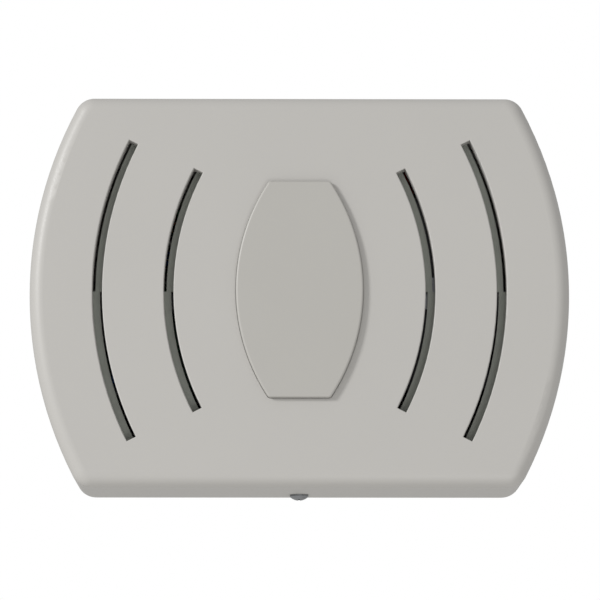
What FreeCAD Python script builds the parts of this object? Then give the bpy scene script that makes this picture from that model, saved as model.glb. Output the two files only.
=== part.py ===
# Wall-mounted alarm sounder of a shop security gate, in millimetres.
#
# The back face lies on the wall, in the plane Y = 0, and +Y points into the wall. +Z is up and
# +X is to the right of someone facing the unit. The origin is the middle of the back face.
# "out" below means the distance out from the wall, so a point at "out" lies at Y = -out.
import FreeCAD
import Part
import math
import os

# ---------------------------------------------------------------- driving dimensions

# Case. Its two long sides are arcs about points ARC_OFFSET past the middle, and the sound
# slots and the badge's sides are arcs about the same two points.
WIDTH = 270.0
HEIGHT = 197.0
DEPTH = 60.0
ARC_OFFSET = 67.0
CORNER_R = 10.0
FRONT_R = 7.0
SKIN = 2.5

# Wall plate
PLATE = 3.0
FLANGE = 4.0
FLANGE_WIDTH = 6.0
FLANGE_INSET = 0.4
PARTING_GAP = 0.3
UPSTAND_OUT = 14.0
UPSTAND_WALL = 2.0
UPSTAND_GAP = 0.6
UPSTAND_TOP = 60.0
RIB_WALL = 1.6
RIB_OUT = 6.0

# Sound slots: a moulded channel, with a slit through its floor
OUTER_SLOT_X = 98.5
INNER_SLOT_X = 62.9
OUTER_SLOT_SWEEP = 26.5
INNER_SLOT_SWEEP = 27.2
SLOT_WIDTH = 4.9
SLOT_DEPTH = 7.0
SLOT_EDGE_R = 0.5
SLIT_WIDTH = 1.3
TROUGH_WALL = 1.5

# Badge
BADGE_HALF_WIDTH = 31.8
BADGE_HALF_HEIGHT = 54.5
BADGE_PROUD = 3.0
BADGE_SEAT = 1.0
BADGE_GAP = 0.25
BADGE_CORNER_R = 2.0
BADGE_EDGE_R = 1.1
BADGE_PIN_R = 1.5
BADGE_PIN_X = 14.0
BADGE_PIN_Z = 38.0
BADGE_PIN_OUT = 51.5
CLIP_R = 4.5
CLIP_THICK = 0.6
PRESS_PLAY = 0.02

# Cover hinge, along the top behind the cover's upper edge
HINGE_OUT = 7.5
HINGE_X = 62.0
HINGE_PIN_R = 1.25
HINGE_RUN = 0.06
HINGE_ARM = 5.0
HINGE_ARM_WALL = 0.95
HINGE_EAR = 3.0
HINGE_EAR_WALL = 1.69
HINGE_SIDE_GAP = 0.3
HINGE_TOP_GAP = 0.3
HINGE_SNAP = 0.4
HINGE_FOOT = 8.0
PLATE_TOP_CLEARANCE = 3.5

# Cover screw, upwards through the bottom wall
SCREW_R = 2.5
SCREW_OUT = 18.0
SCREW_LENGTH = 15.0
SCREW_HEAD_OVER = 2.3
SCREW_HEAD = 2.4
SCREW_HEAD_RIM = 0.4
SCREW_RECESS = 1.4
SCREW_GAP = 0.1
WASHER_INSET = 0.1
WASHER_THICK = 0.4
NOTCH_PLAY = 0.4
THREAD_PLAY = 0.05
INSERT_WALL = 1.1
INSERT_LENGTH = 9.0
SCREW_BOSS_WALL = 3.4
SCREW_BOSS_GAP = 0.9
SCREW_BOSS_HEIGHT = 15.0

# Wall fixings and cable entry
WALL_HOLE_X = 108.0
WALL_HOLE_Z = 60.0
WALL_HOLE_R = 2.75
WALL_BOSS_R = 6.0
CABLE_Z = -45.0
CABLE_HOLE_R = 10.0
CABLE_BORE_R = 4.0
GROMMET_LIP = 2.0
GROMMET_LIP_R = 12.5

# Circuit board
BOARD_X = -71.0
BOARD_WIDTH = 54.0
BOARD_HEIGHT = 100.0
BOARD_THICK = 1.6
BOARD_OUT = 10.0
BOARD_HOLE_EDGE = 4.0
BOARD_POST_R = 3.5
BOARD_SCREW_R = 1.4
BOARD_SCREW_HEAD_R = 2.8

# Terminal block
TERMINAL_WAYS = 6
TERMINAL_PITCH = 5.0
TERMINAL_X = BOARD_X + BOARD_WIDTH / 2 - 5.5
TERMINAL_Z = -26.0
TERMINAL_RISE = 11.0
TERMINAL_SCREW_R = 1.7

# Capacitors, each with its X, Z, radius and height above the board
CAPACITORS = ((BOARD_X + 2.5, -36.0, 6.5, 20.0), (BOARD_X + 8.0, -1.0, 5.0, 16.0),
              (BOARD_X + 8.0, 11.0, 5.0, 16.0))

# Step-up coil
COIL_X = BOARD_X - 15.5
COIL_Z = -11.0
COIL_R = 6.0
COIL_CORE_R = 2.6
COIL_WIRE_R = 0.45
COIL_TURNS = 16

# Chips, each with its X, Z, width, length and legs a side
CHIPS = ((BOARD_X - 13.0, 13.0, 6.4, 19.3, 8), (BOARD_X + 20.0, 4.0, 6.4, 9.4, 4))
CHIP_RISE = 3.4
CHIP_LIFT = 0.7

# Heat sink and transistor
SINK_X = BOARD_X - 10.5
SINK_Z = 36.0

# Fuse
FUSE_X = BOARD_X + 10.5
FUSE_Z = 31.5
FUSE_R = 2.6
FUSE_LENGTH = 20.0
FUSE_LIFT = 2.0

# Indicator lamp
LED_X = BOARD_X + 24.0
LED_Z = 18.5

# Setting switch
DIP_X = BOARD_X + 8.0
DIP_Z = 23.0
DIP_WAYS = 4
DIP_PITCH = 2.54
DIP_RISE = 5.0
DIP_SLIDE = 1.4
DIP_KNOB = 1.1
DIP_PLAY = 0.05
DIP_POCKET = 1.6

# Volume trimmer
TRIM_X = BOARD_X + 19.0
TRIM_Z = 24.0
TRIM_SIDE = 6.6
TRIM_RISE = 4.0
TRIM_ROTOR_R = 2.2
TRIM_POCKET = 1.4

# Lead sockets
HEADER_X = BOARD_X + 17.5
HEADER_RISE = 7.0
HEADER_LONG = 8.0
HEADER_SHORT = 5.6
HEADER_PITCH = 3.2
BATTERY_HEADER_Z = 39.5
SPEAKER_HEADER_Z = 13.5

# Backup battery, standing on its end
BATTERY_X = 70.0
BATTERY_WIDTH = 52.0
BATTERY_HEIGHT = 97.0
BATTERY_DEPTH = 43.0
BATTERY_PAD = 1.0
BATTERY_PLAY = 0.4
CRADLE_WALL = 2.0
CRADLE_OUT = 16.0
STRAP_WIDTH = 16.0
STRAP_THICK = 1.0
STRAP_FOOT = 9.0
STRAP_POST_OUT = 8.0
STRAP_SCREW_R = 1.4
TAB_WIDTH = 4.8
TAB_THICK = 0.8
TAB_HEIGHT = 7.0
TAB_SPACING = 30.0
SLEEVE_LENGTH = 14.0
SLEEVE_LIFT = 1.4

# Loudspeaker
SPEAKER_Z = 20.0
SPEAKER_SIDE = 77.0
SPEAKER_HOLE = 32.0
SPEAKER_OUT = 43.5
SPEAKER_FLANGE = 1.5
SPEAKER_RIM_R = 36.0
SPEAKER_CONE_R = 30.0
SPEAKER_CAP_R = 11.0
SPEAKER_BACK_OUT = 21.0
SPEAKER_MAGNET_R = 22.5
SPEAKER_MAGNET = 12.0
SPEAKER_NECK_R = 16.0
SPEAKER_POST_R = 4.0
SPEAKER_STUD_R = 1.5
SPEAKER_STUD = 2.0
SPEAKER_SCREW_R = 1.6

# Cover tamper switch: a lever switch that a post on the cover holds down
SWITCH_X = -40.0
SWITCH_Z = -73.0
SWITCH_LENGTH = 20.0
SWITCH_WIDTH = 6.4
SWITCH_HEIGHT = 10.5
SWITCH_SHELF_OUT = 13.0
SWITCH_BUTTON_R = 0.9
SWITCH_BUTTON_RISE = 0.9
SWITCH_PLAY = 0.06
LEVER_THICK = 0.4
LEVER_WIDTH = 4.2
LEVER_OVERHANG = 4.0
LEVER_PIN_R = 0.6
POST_R = 3.0

# Wires
BATTERY_LEAD_R = 1.1
SPEAKER_LEAD_R = 0.8

# ---------------------------------------------------------------- values that follow from them

HALF_WIDTH = WIDTH / 2
HALF_HEIGHT = HEIGHT / 2
COVER_BACK = FLANGE + PARTING_GAP
FRONT_INSIDE = DEPTH - SKIN
TROUGH_BACK = DEPTH - SLOT_DEPTH - TROUGH_WALL
HINGE_ARM_R = HINGE_PIN_R + HINGE_ARM_WALL
HINGE_EAR_R = HINGE_PIN_R + HINGE_RUN + HINGE_EAR_WALL
HINGE_MOUTH = 2 * HINGE_PIN_R - HINGE_SNAP
HINGE_Z = HALF_HEIGHT - SKIN - HINGE_TOP_GAP - HINGE_ARM_R
PLATE_TOP = HINGE_Z - PLATE_TOP_CLEARANCE
SCREW_HEAD_R = SCREW_R + SCREW_HEAD_OVER
WASHER_R = SCREW_HEAD_R - WASHER_INSET
INSERT_R = SCREW_R + INSERT_WALL
SCREW_BOSS_HALF = INSERT_R + SCREW_BOSS_WALL
BOARD_FACE = BOARD_OUT + BOARD_THICK
BATTERY_BACK = PLATE + BATTERY_PAD
BATTERY_FACE = BATTERY_BACK + BATTERY_DEPTH
BATTERY_TOP = BATTERY_HEIGHT / 2
TAB_OUT = BATTERY_BACK + BATTERY_DEPTH * 0.45
SWITCH_FACE = SWITCH_SHELF_OUT + SWITCH_HEIGHT
BUTTON_FACE = SWITCH_FACE + SWITCH_BUTTON_RISE
LEVER_BACK = BUTTON_FACE + SWITCH_PLAY
LEVER_FACE = LEVER_BACK + LEVER_THICK
LEVER_PIVOT_X = SWITCH_X - SWITCH_LENGTH / 2 + 1.5
LEVER_TIP_X = SWITCH_X + SWITCH_LENGTH / 2 + LEVER_OVERHANG
BUTTON_X = LEVER_PIVOT_X + 7.0
POST_X = LEVER_TIP_X - POST_R

SIDES = (-1, 1)
TINY = 0.01
OVERLAP = 0.5


# ---------------------------------------------------------------- helpers

def at(x, out, z):
    """A point, given by its distance out from the wall."""
    return FreeCAD.Vector(x, -out, z)


def block(x_span, out_span, z_span):
    """A box between the two ends of each span."""
    size = [abs(span[1] - span[0]) for span in (x_span, out_span, z_span)]
    corner = at(min(x_span), max(out_span), min(z_span))
    return Part.makeBox(size[0], size[1], size[2], corner)


def rod(x, z, radius, out_span):
    """A cylinder that stands out from the wall."""
    length = abs(out_span[1] - out_span[0])
    return Part.makeCylinder(radius, length, at(x, min(out_span), z), at(0, 1, 0))


def upright(x, out, radius, z_span):
    """A vertical cylinder."""
    length = abs(z_span[1] - z_span[0])
    return Part.makeCylinder(radius, length, at(x, out, min(z_span)), FreeCAD.Vector(0, 0, 1))


def crossbar(out, z, radius, x_span):
    """A cylinder along X."""
    length = abs(x_span[1] - x_span[0])
    return Part.makeCylinder(radius, length, at(min(x_span), out, z), FreeCAD.Vector(1, 0, 0))


def turned(x, z, profile):
    """A solid turned about the line through (x, z) that stands out from the wall.

    The profile lists (radius, out) corners.
    """
    corners = [at(x + radius, out, z) for radius, out in profile]
    face = Part.Face(Part.makePolygon(corners + corners[:1]))
    return face.revolve(at(x, 0, z), at(0, 1, 0), 360)


def fuse(shapes):
    """One shape out of several that overlap or touch."""
    joined = shapes[0].multiFuse(shapes[1:])
    return joined.removeSplitter()


def group(shapes):
    """Separate solids that share one node."""
    return Part.makeCompound(shapes)


def edges_on_face(solid, out):
    """The edges that lie in the plane at a distance out from the wall."""
    found = []
    for edge in solid.Edges:
        box = edge.BoundBox
        if abs(box.YMin + out) < TINY and abs(box.YMax + out) < TINY:
            found.append(edge)
    return found


def edges_standing_out(solid):
    """The straight edges that run square to the wall."""
    found = []
    for edge in solid.Edges:
        box = edge.BoundBox
        if box.XLength < TINY and box.ZLength < TINY:
            found.append(edge)
    return found


def barrel(half_width, half_height, out_span, corner_r):
    """A prism with flat top and bottom and bowed sides, all corners rounded."""
    radius = half_width + ARC_OFFSET
    corner_x = math.sqrt(radius ** 2 - half_height ** 2) - ARC_OFFSET
    near = min(out_span)
    top_left = at(-corner_x, near, half_height)
    top_right = at(corner_x, near, half_height)
    low_right = at(corner_x, near, -half_height)
    low_left = at(-corner_x, near, -half_height)
    outline = Part.Wire([
        Part.LineSegment(top_left, top_right).toShape(),
        Part.Arc(top_right, at(half_width, near, 0), low_right).toShape(),
        Part.LineSegment(low_right, low_left).toShape(),
        Part.Arc(low_left, at(-half_width, near, 0), top_left).toShape(),
    ])
    prism = Part.Face(outline).extrude(at(0, abs(out_span[1] - out_span[0]), 0))
    return prism.makeFillet(corner_r, edges_standing_out(prism))


def arc_band(side, radii, angles, out_span):
    """A curved bar between two radii and two angles about an arc centre of the case."""
    near = min(out_span)

    def point(radius, angle):
        turn = math.radians(angle)
        return at(side * (radius * math.cos(turn) - ARC_OFFSET), near, radius * math.sin(turn))

    low, high = angles
    middle = (low + high) / 2
    inner, outer = radii
    outline = Part.Wire([
        Part.Arc(point(inner, low), point(inner, middle), point(inner, high)).toShape(),
        Part.LineSegment(point(inner, high), point(outer, high)).toShape(),
        Part.Arc(point(outer, high), point(outer, middle), point(outer, low)).toShape(),
        Part.LineSegment(point(outer, low), point(inner, low)).toShape(),
    ])
    return Part.Face(outline).extrude(at(0, abs(out_span[1] - out_span[0]), 0))


def wire_path(points):
    """Straight runs joined by tangent arcs, each as large as its two runs allow."""
    edges = []
    start = points[0]
    radii = []
    for before, corner, after in zip(points, points[1:], points[2:]):
        back = (before - corner).normalize()
        ahead = (after - corner).normalize()
        shorter = min(before.distanceToPoint(corner), after.distanceToPoint(corner))
        half_turn = (math.pi - back.getAngle(ahead)) / 2
        reach = 0.45 * shorter
        radius = reach / math.tan(half_turn)
        radii.append(radius)
        enter = corner + back * reach
        leave = corner + ahead * reach
        inward = (back + ahead).normalize()
        centre = corner + inward * (radius / math.cos(half_turn))
        edges.append(Part.LineSegment(start, enter).toShape())
        edges.append(Part.Arc(enter, centre - inward * radius, leave).toShape())
        start = leave
    edges.append(Part.LineSegment(start, points[-1]).toShape())
    return Part.Wire(edges), radii


def lead(name, points, radius):
    """A round wire along a route; prints its bend radii and its volume test."""
    route = [at(*point) for point in points]
    path, radii = wire_path(route)
    direction = route[1] - route[0]
    section = Part.Wire([Part.makeCircle(radius, route[0], direction)])
    solid = path.makePipeShell([section], True, False)
    expected = math.pi * radius ** 2 * path.Length
    bends = " ".join(f"{bend:.1f}" for bend in radii)
    print(f"{name}: length {path.Length:.0f}, radii {bends}, volume {solid.Volume / expected:.4f}")
    return solid


# ---------------------------------------------------------------- cover

def slot_radii(slot_x):
    """The inner and outer radius of a sound slot."""
    return slot_x + ARC_OFFSET, slot_x + ARC_OFFSET + SLOT_WIDTH


def trough(side, slot_x, sweep):
    """The moulded walls and floor round one sound slot, behind the front wall."""
    inner, outer = slot_radii(slot_x)
    angle = sweep + math.degrees(TROUGH_WALL / inner)
    radii = (inner - TROUGH_WALL, outer + TROUGH_WALL)
    return arc_band(side, radii, (-angle, angle), (TROUGH_BACK, FRONT_INSIDE + OVERLAP))


def channel(side, slot_x, sweep):
    """The open channel of one sound slot."""
    radii = slot_radii(slot_x)
    return arc_band(side, radii, (-sweep, sweep), (DEPTH - SLOT_DEPTH, DEPTH + OVERLAP))


def slits(side, slot_x, sweep):
    """The slit through the channel floor: on the outer side above, on the inner side below."""
    inner, outer = slot_radii(slot_x)
    through = (TROUGH_BACK - OVERLAP, DEPTH - SLOT_DEPTH + OVERLAP)
    upper = arc_band(side, (outer - SLIT_WIDTH, outer), (0, sweep), through)
    lower = arc_band(side, (inner, inner + SLIT_WIDTH), (-sweep, 0), through)
    return [upper, lower]


def badge_pin_places():
    """The four places, as (x, z), where the badge's pins go through the cover."""
    return [(x, z) for x in (-BADGE_PIN_X, BADGE_PIN_X) for z in (-BADGE_PIN_Z, BADGE_PIN_Z)]


def hinge_ears():
    """Open rings that snap over the hinge pins, one each side of each arm."""
    ears = []
    reach = HINGE_ARM / 2 + HINGE_SIDE_GAP
    for x in (-HINGE_X, HINGE_X):
        for side in SIDES:
            span = (x + side * reach, x + side * (reach + HINGE_EAR))
            ring = crossbar(HINGE_OUT, HINGE_Z, HINGE_EAR_R, span)
            neck = block(
                span,
                (HINGE_OUT - HINGE_EAR_R + OVERLAP, HINGE_OUT + HINGE_EAR_R),
                (HINGE_Z, HALF_HEIGHT - SKIN + OVERLAP),
            )
            bore = crossbar(HINGE_OUT, HINGE_Z, HINGE_PIN_R + HINGE_RUN, span)
            mouth = block(
                span,
                (HINGE_OUT - HINGE_MOUTH / 2, HINGE_OUT + HINGE_MOUTH / 2),
                (HINGE_Z - HINGE_EAR_R - OVERLAP, HINGE_Z),
            )
            ears.append(fuse([ring, neck]).cut(fuse([bore, mouth])))
    return ears


def tamper_post():
    """The post inside the cover that holds the tamper lever down, with two webs."""
    span = (LEVER_FACE + SWITCH_PLAY, FRONT_INSIDE + OVERLAP)
    core = rod(POST_X, SWITCH_Z, POST_R, span)
    web_span = (span[0] + 12, span[1])
    web = 2 * POST_R
    across = block((POST_X - web, POST_X + web), web_span, (SWITCH_Z - 0.8, SWITCH_Z + 0.8))
    along = block((POST_X - 0.8, POST_X + 0.8), web_span, (SWITCH_Z - web, SWITCH_Z + web))
    return fuse([core, across, along])


def front_cover():
    """The cover: a moulded shell with its slots, badge seat, hinge ears and screw notch."""
    outside = barrel(HALF_WIDTH, HALF_HEIGHT, (COVER_BACK, DEPTH), CORNER_R)
    outside = outside.makeFillet(FRONT_R, edges_on_face(outside, DEPTH))
    inside = barrel(
        HALF_WIDTH - SKIN, HALF_HEIGHT - SKIN, (COVER_BACK - 1, FRONT_INSIDE), CORNER_R - SKIN
    )
    inside = inside.makeFillet(FRONT_R - SKIN, edges_on_face(inside, FRONT_INSIDE))
    shell = outside.cut(inside)

    slots = ((OUTER_SLOT_X, OUTER_SLOT_SWEEP), (INNER_SLOT_X, INNER_SLOT_SWEEP))
    troughs = [trough(side, x, sweep) for side in SIDES for x, sweep in slots]
    channels = [channel(side, x, sweep) for side in SIDES for x, sweep in slots]
    shell = fuse([shell] + troughs + hinge_ears() + [tamper_post()])
    shell = shell.cut(channels)
    mouth_edges = []
    for edge in edges_on_face(shell, DEPTH):
        box = edge.BoundBox
        reach = max(abs(box.XMin), abs(box.XMax))
        tall = max(abs(box.ZMin), abs(box.ZMax))
        if reach < OUTER_SLOT_X + SLOT_WIDTH + 1 and tall < HALF_HEIGHT - FRONT_R - 1:
            mouth_edges.append(edge)
    shell = shell.makeFillet(SLOT_EDGE_R, mouth_edges)

    cuts = [slit for side in SIDES for x, sweep in slots for slit in slits(side, x, sweep)]
    cuts.append(barrel(
        BADGE_HALF_WIDTH + BADGE_GAP, BADGE_HALF_HEIGHT + BADGE_GAP,
        (DEPTH - BADGE_SEAT, DEPTH + 1), BADGE_CORNER_R + BADGE_GAP,
    ))
    for x, z in badge_pin_places():
        cuts.append(rod(x, z, BADGE_PIN_R + BADGE_GAP, (FRONT_INSIDE - 1, DEPTH)))
    notch = SCREW_R + NOTCH_PLAY
    bottom = (-HALF_HEIGHT - 1, -HALF_HEIGHT + SKIN + 1)
    cuts.append(upright(0, SCREW_OUT, notch, bottom))
    cuts.append(block((-notch, notch), (COVER_BACK - 1, SCREW_OUT), bottom))
    return shell.cut(cuts)


def badge_plate():
    """The blank badge, with the four pins that hold it."""
    face_out = DEPTH + BADGE_PROUD
    back_out = DEPTH - BADGE_SEAT
    plate = barrel(BADGE_HALF_WIDTH, BADGE_HALF_HEIGHT, (back_out, face_out), BADGE_CORNER_R)
    plate = plate.makeFillet(BADGE_EDGE_R, edges_on_face(plate, face_out))
    pins = [rod(x, z, BADGE_PIN_R, (BADGE_PIN_OUT, back_out)) for x, z in badge_pin_places()]
    return fuse([plate] + pins)


def badge_clips():
    """Push-on spring clips on the badge's pins, against the inside of the cover."""
    clips = []
    back = FRONT_INSIDE - CLIP_THICK
    grip = BADGE_PIN_R + PRESS_PLAY
    for x, z in badge_pin_places():
        clips.append(turned(x, z, [
            (grip, back - CLIP_THICK), (grip, back),
            (CLIP_R - 1, FRONT_INSIDE), (CLIP_R, FRONT_INSIDE),
            (CLIP_R, back), (CLIP_R - 1, back), (grip + 1, back - CLIP_THICK),
        ]))
    return group(clips)


# ---------------------------------------------------------------- wall plate

def plate_body():
    """The flat plate, its thicker rim and the upstand that the cover closes round."""
    half_width = HALF_WIDTH - FLANGE_INSET
    half_height = HALF_HEIGHT - FLANGE_INSET
    plate = barrel(half_width, half_height, (0, FLANGE), CORNER_R - FLANGE_INSET)
    pocket = barrel(
        half_width - FLANGE_WIDTH, half_height - FLANGE_WIDTH, (PLATE, FLANGE + 1), CORNER_R / 2
    )
    above = block((-WIDTH, WIDTH), (-1, FLANGE + 1), (PLATE_TOP, HEIGHT))
    inset = SKIN + UPSTAND_GAP
    ring = barrel(
        HALF_WIDTH - inset, HALF_HEIGHT - inset, (PLATE - OVERLAP, UPSTAND_OUT), CORNER_R - inset
    )
    inset += UPSTAND_WALL
    hollow = barrel(
        HALF_WIDTH - inset, HALF_HEIGHT - inset, (0, UPSTAND_OUT + 1), CORNER_R - inset
    )
    upper = block((-WIDTH, WIDTH), (0, UPSTAND_OUT + 1), (UPSTAND_TOP, HEIGHT))
    upstand = ring.cut([hollow, upper])
    return fuse([plate.cut([pocket, above]), upstand])


def hinge_arms():
    """The two arms that hold the hinge pins."""
    arms = []
    for x in (-HINGE_X, HINGE_X):
        span = (x - HINGE_ARM / 2, x + HINGE_ARM / 2)
        front = HINGE_OUT + HINGE_ARM_R
        back = HINGE_OUT - HINGE_ARM_R
        foot_top = PLATE_TOP - HINGE_ARM_R
        arms.append(fuse([
            block(span, (PLATE - OVERLAP, front), (foot_top - HINGE_FOOT, foot_top)),
            block(span, (back, front), (foot_top - HINGE_FOOT, HINGE_Z)),
            crossbar(HINGE_OUT, HINGE_Z, HINGE_ARM_R, span),
        ]))
    return arms


def screw_boss_span():
    """The lowest and highest Z of the boss that holds the cover screw."""
    low = -HALF_HEIGHT + SKIN + SCREW_BOSS_GAP
    return low, low + SCREW_BOSS_HEIGHT


def board_hole_places():
    """The four places, as (x, z), where the circuit board is screwed down."""
    reach_x = BOARD_WIDTH / 2 - BOARD_HOLE_EDGE
    reach_z = BOARD_HEIGHT / 2 - BOARD_HOLE_EDGE
    return [(BOARD_X + sx * reach_x, sz * reach_z) for sx in SIDES for sz in SIDES]


def speaker_hole_places():
    """The four places, as (x, z), where the loudspeaker is screwed down."""
    return [(sx * SPEAKER_HOLE, SPEAKER_Z + sz * SPEAKER_HOLE) for sx in SIDES for sz in SIDES]


def strap_screw_places():
    """The two places, as (x, z), where the battery strap is screwed down."""
    reach = BATTERY_WIDTH / 2 + BATTERY_PLAY + STRAP_THICK + STRAP_FOOT / 2
    return [(BATTERY_X + side * reach, 0) for side in SIDES]


def switch_screw_places():
    """The two places, as (x, z), of the tamper switch's fixing screws."""
    return [(SWITCH_X + side * SWITCH_LENGTH / 4, SWITCH_Z) for side in SIDES]


def cradle():
    """Low walls that hold the battery in place, with a ledge under it."""
    reach = BATTERY_WIDTH / 2 + BATTERY_PLAY
    low = -BATTERY_HEIGHT / 2 - BATTERY_PLAY
    root = PLATE - OVERLAP
    walls = [block(
        (BATTERY_X - reach, BATTERY_X + reach), (root, CRADLE_OUT), (low - CRADLE_WALL, low)
    )]
    for side in SIDES:
        inner = BATTERY_X + side * reach
        outer = inner + side * CRADLE_WALL
        for z in (-BATTERY_HEIGHT / 3, BATTERY_HEIGHT / 3):
            walls.append(block((inner, outer), (root, CRADLE_OUT), (z - 9, z + 9)))
        pad = BATTERY_X + side * BATTERY_WIDTH / 4
        walls.append(block((pad - 1, pad + 1), (root, BATTERY_BACK), (low, -low)))
    return walls


def plate_ribs():
    """Stiffening ribs on the open parts of the plate."""
    root = PLATE - OVERLAP
    top_z = BOARD_HEIGHT / 2 + 22
    low_z = -BOARD_HEIGHT / 2 - 12
    reach = WALL_HOLE_X - WALL_BOSS_R
    ribs = [block((-reach, reach), (root, RIB_OUT), (top_z, top_z + RIB_WALL))]
    for side in SIDES:
        ribs.append(block(
            (side * CABLE_HOLE_R * 2, side * reach), (root, RIB_OUT), (low_z, low_z + RIB_WALL)
        ))
    return ribs


def base_plate():
    """The wall plate, moulded in one with its bosses, posts, cradle and hinge arms."""
    root = PLATE - OVERLAP
    wall_places = [(sx * WALL_HOLE_X, sz * WALL_HOLE_Z) for sx in SIDES for sz in SIDES]
    boss_z = screw_boss_span()
    solids = [plate_body()] + hinge_arms() + cradle() + plate_ribs()
    solids += [rod(x, z, WALL_BOSS_R, (root, RIB_OUT)) for x, z in wall_places]
    solids += [rod(x, z, BOARD_POST_R, (root, BOARD_OUT)) for x, z in board_hole_places()]
    solids += [rod(x, z, STRAP_FOOT / 2, (root, STRAP_POST_OUT)) for x, z in strap_screw_places()]
    solids.append(block(
        (SWITCH_X - SWITCH_LENGTH / 2 - 1, SWITCH_X + SWITCH_LENGTH / 2 + 1),
        (root, SWITCH_SHELF_OUT),
        (SWITCH_Z - SWITCH_WIDTH / 2 - 1, SWITCH_Z + SWITCH_WIDTH / 2 + 1),
    ))
    solids.append(block(
        (-SCREW_BOSS_HALF - 2, SCREW_BOSS_HALF + 2), (root, SCREW_OUT + SCREW_BOSS_HALF), boss_z
    ))
    body = fuse(solids)

    cuts = [rod(x, z, WALL_HOLE_R, (-1, RIB_OUT + 1)) for x, z in wall_places]
    cuts += [rod(x, z, BOARD_SCREW_R, (root, BOARD_OUT + 1)) for x, z in board_hole_places()]
    stud_r = SPEAKER_STUD_R + PRESS_PLAY
    cuts += [rod(x, z, stud_r, (PLATE - SPEAKER_STUD, PLATE + 1)) for x, z in speaker_hole_places()]
    cuts += [rod(x, z, STRAP_SCREW_R, (root, STRAP_POST_OUT + 1)) for x, z in strap_screw_places()]
    cuts += [
        rod(x, z, 0.9, (SWITCH_SHELF_OUT - 6, SWITCH_SHELF_OUT + 1)) for x, z in switch_screw_places()
    ]
    cuts.append(rod(0, CABLE_Z, CABLE_HOLE_R, (-1, PLATE + 1)))
    cuts.append(upright(0, SCREW_OUT, INSERT_R, (boss_z[0] - 1, boss_z[0] + INSERT_LENGTH)))
    cuts.append(upright(0, SCREW_OUT, SCREW_R + NOTCH_PLAY, (boss_z[0], boss_z[1] - 1)))
    for x in (-HINGE_X, HINGE_X):
        span = (x - HINGE_ARM, x + HINGE_ARM)
        cuts.append(crossbar(HINGE_OUT, HINGE_Z, HINGE_PIN_R, span))
    return body.cut(cuts)


def hinge_pins():
    """Two steel pins, each pressed through an arm and standing out on both sides of it."""
    reach = HINGE_ARM / 2 + HINGE_SIDE_GAP + HINGE_EAR + 1
    return group([
        crossbar(HINGE_OUT, HINGE_Z, HINGE_PIN_R, (x - reach, x + reach))
        for x in (-HINGE_X, HINGE_X)
    ])


def cable_grommet():
    """The rubber grommet that lines the cable hole, with a lip on the inside of the plate."""
    neck = CABLE_HOLE_R
    groove_out = PLATE
    return turned(0, CABLE_Z, [
        (CABLE_BORE_R, 0), (neck, 0), (neck, groove_out), (GROMMET_LIP_R, groove_out),
        (GROMMET_LIP_R - 0.8, groove_out + GROMMET_LIP), (CABLE_BORE_R, groove_out + GROMMET_LIP),
    ])


# ---------------------------------------------------------------- cover screw

def screw_head_top():
    """The Z of the head's upper face, which presses the washer against the cover."""
    return -HALF_HEIGHT - SCREW_GAP - WASHER_THICK


def cover_screw():
    """The button-head screw: a domed head with a thin rim and a cross recess."""
    top = screw_head_top()
    low = top - SCREW_HEAD
    rise = SCREW_HEAD - SCREW_HEAD_RIM
    dome_r = (SCREW_HEAD_R ** 2 + rise ** 2) / (2 * rise)
    head = upright(0, SCREW_OUT, SCREW_HEAD_R, (low, top))
    head = head.common(Part.makeSphere(dome_r, at(0, SCREW_OUT, low + dome_r)))
    shank = upright(0, SCREW_OUT, SCREW_R, (top - OVERLAP, top + SCREW_LENGTH))
    tip = [edge for edge in shank.Edges if edge.BoundBox.ZMin > top + SCREW_LENGTH - TINY]
    shank = shank.makeChamfer(0.6, tip)
    recess = []
    long_arm, short_arm = SCREW_HEAD_R * 0.5, 0.5
    for across, along in ((long_arm, short_arm), (short_arm, long_arm)):
        recess.append(block(
            (-across, across), (SCREW_OUT - along, SCREW_OUT + along), (low - 1, low + SCREW_RECESS)
        ))
    return fuse([head, shank]).cut(recess)


def cover_washer():
    """The washer kept under the screw's head."""
    low = screw_head_top()
    ring = upright(0, SCREW_OUT, WASHER_R, (low, low + WASHER_THICK))
    return ring.cut(upright(0, SCREW_OUT, SCREW_R + THREAD_PLAY, (low - 1, low + 2)))


def screw_insert():
    """The threaded brass insert in the wall plate's boss."""
    low = screw_boss_span()[0]
    sleeve = upright(0, SCREW_OUT, INSERT_R, (low, low + INSERT_LENGTH))
    return sleeve.cut(upright(0, SCREW_OUT, SCREW_R + THREAD_PLAY, (low - 1, low + HEIGHT)))


# ---------------------------------------------------------------- circuit board

def small_screws(places, shank_r, head_r, seat_out, length):
    """Pan-head screws that stand out from the wall, with slotted heads."""
    screws = []
    for x, z in places:
        head_out = seat_out + 0.75 * head_r
        screw = fuse([
            turned(x, z, [
                (0, seat_out), (head_r, seat_out), (head_r, seat_out + 0.4 * head_r),
                (0.6 * head_r, head_out), (0, head_out),
            ]),
            rod(x, z, shank_r, (seat_out - length, seat_out + TINY)),
        ])
        slot = block((x - 0.2 * head_r, x + 0.2 * head_r), (head_out - 0.4 * head_r, head_out + 1),
                     (z - head_r, z + head_r))
        screws.append(screw.cut(slot))
    return group(screws)


def circuit_board():
    """The bare board with its four fixing holes."""
    board = block(
        (BOARD_X - BOARD_WIDTH / 2, BOARD_X + BOARD_WIDTH / 2), (BOARD_OUT, BOARD_FACE),
        (-BOARD_HEIGHT / 2, BOARD_HEIGHT / 2),
    )
    board = board.makeFillet(1.5, edges_standing_out(board))
    holes = [rod(x, z, BOARD_SCREW_R + 0.2, (BOARD_OUT - 1, BOARD_FACE + 1))
             for x, z in board_hole_places()]
    return board.cut(holes)


def on_board(x, z, width, height, rise, lift=0.0):
    """A box on the board, placed by its middle."""
    base = BOARD_FACE + lift
    return block((x - width / 2, x + width / 2), (base, base + rise), (z - height / 2, z + height / 2))


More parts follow.
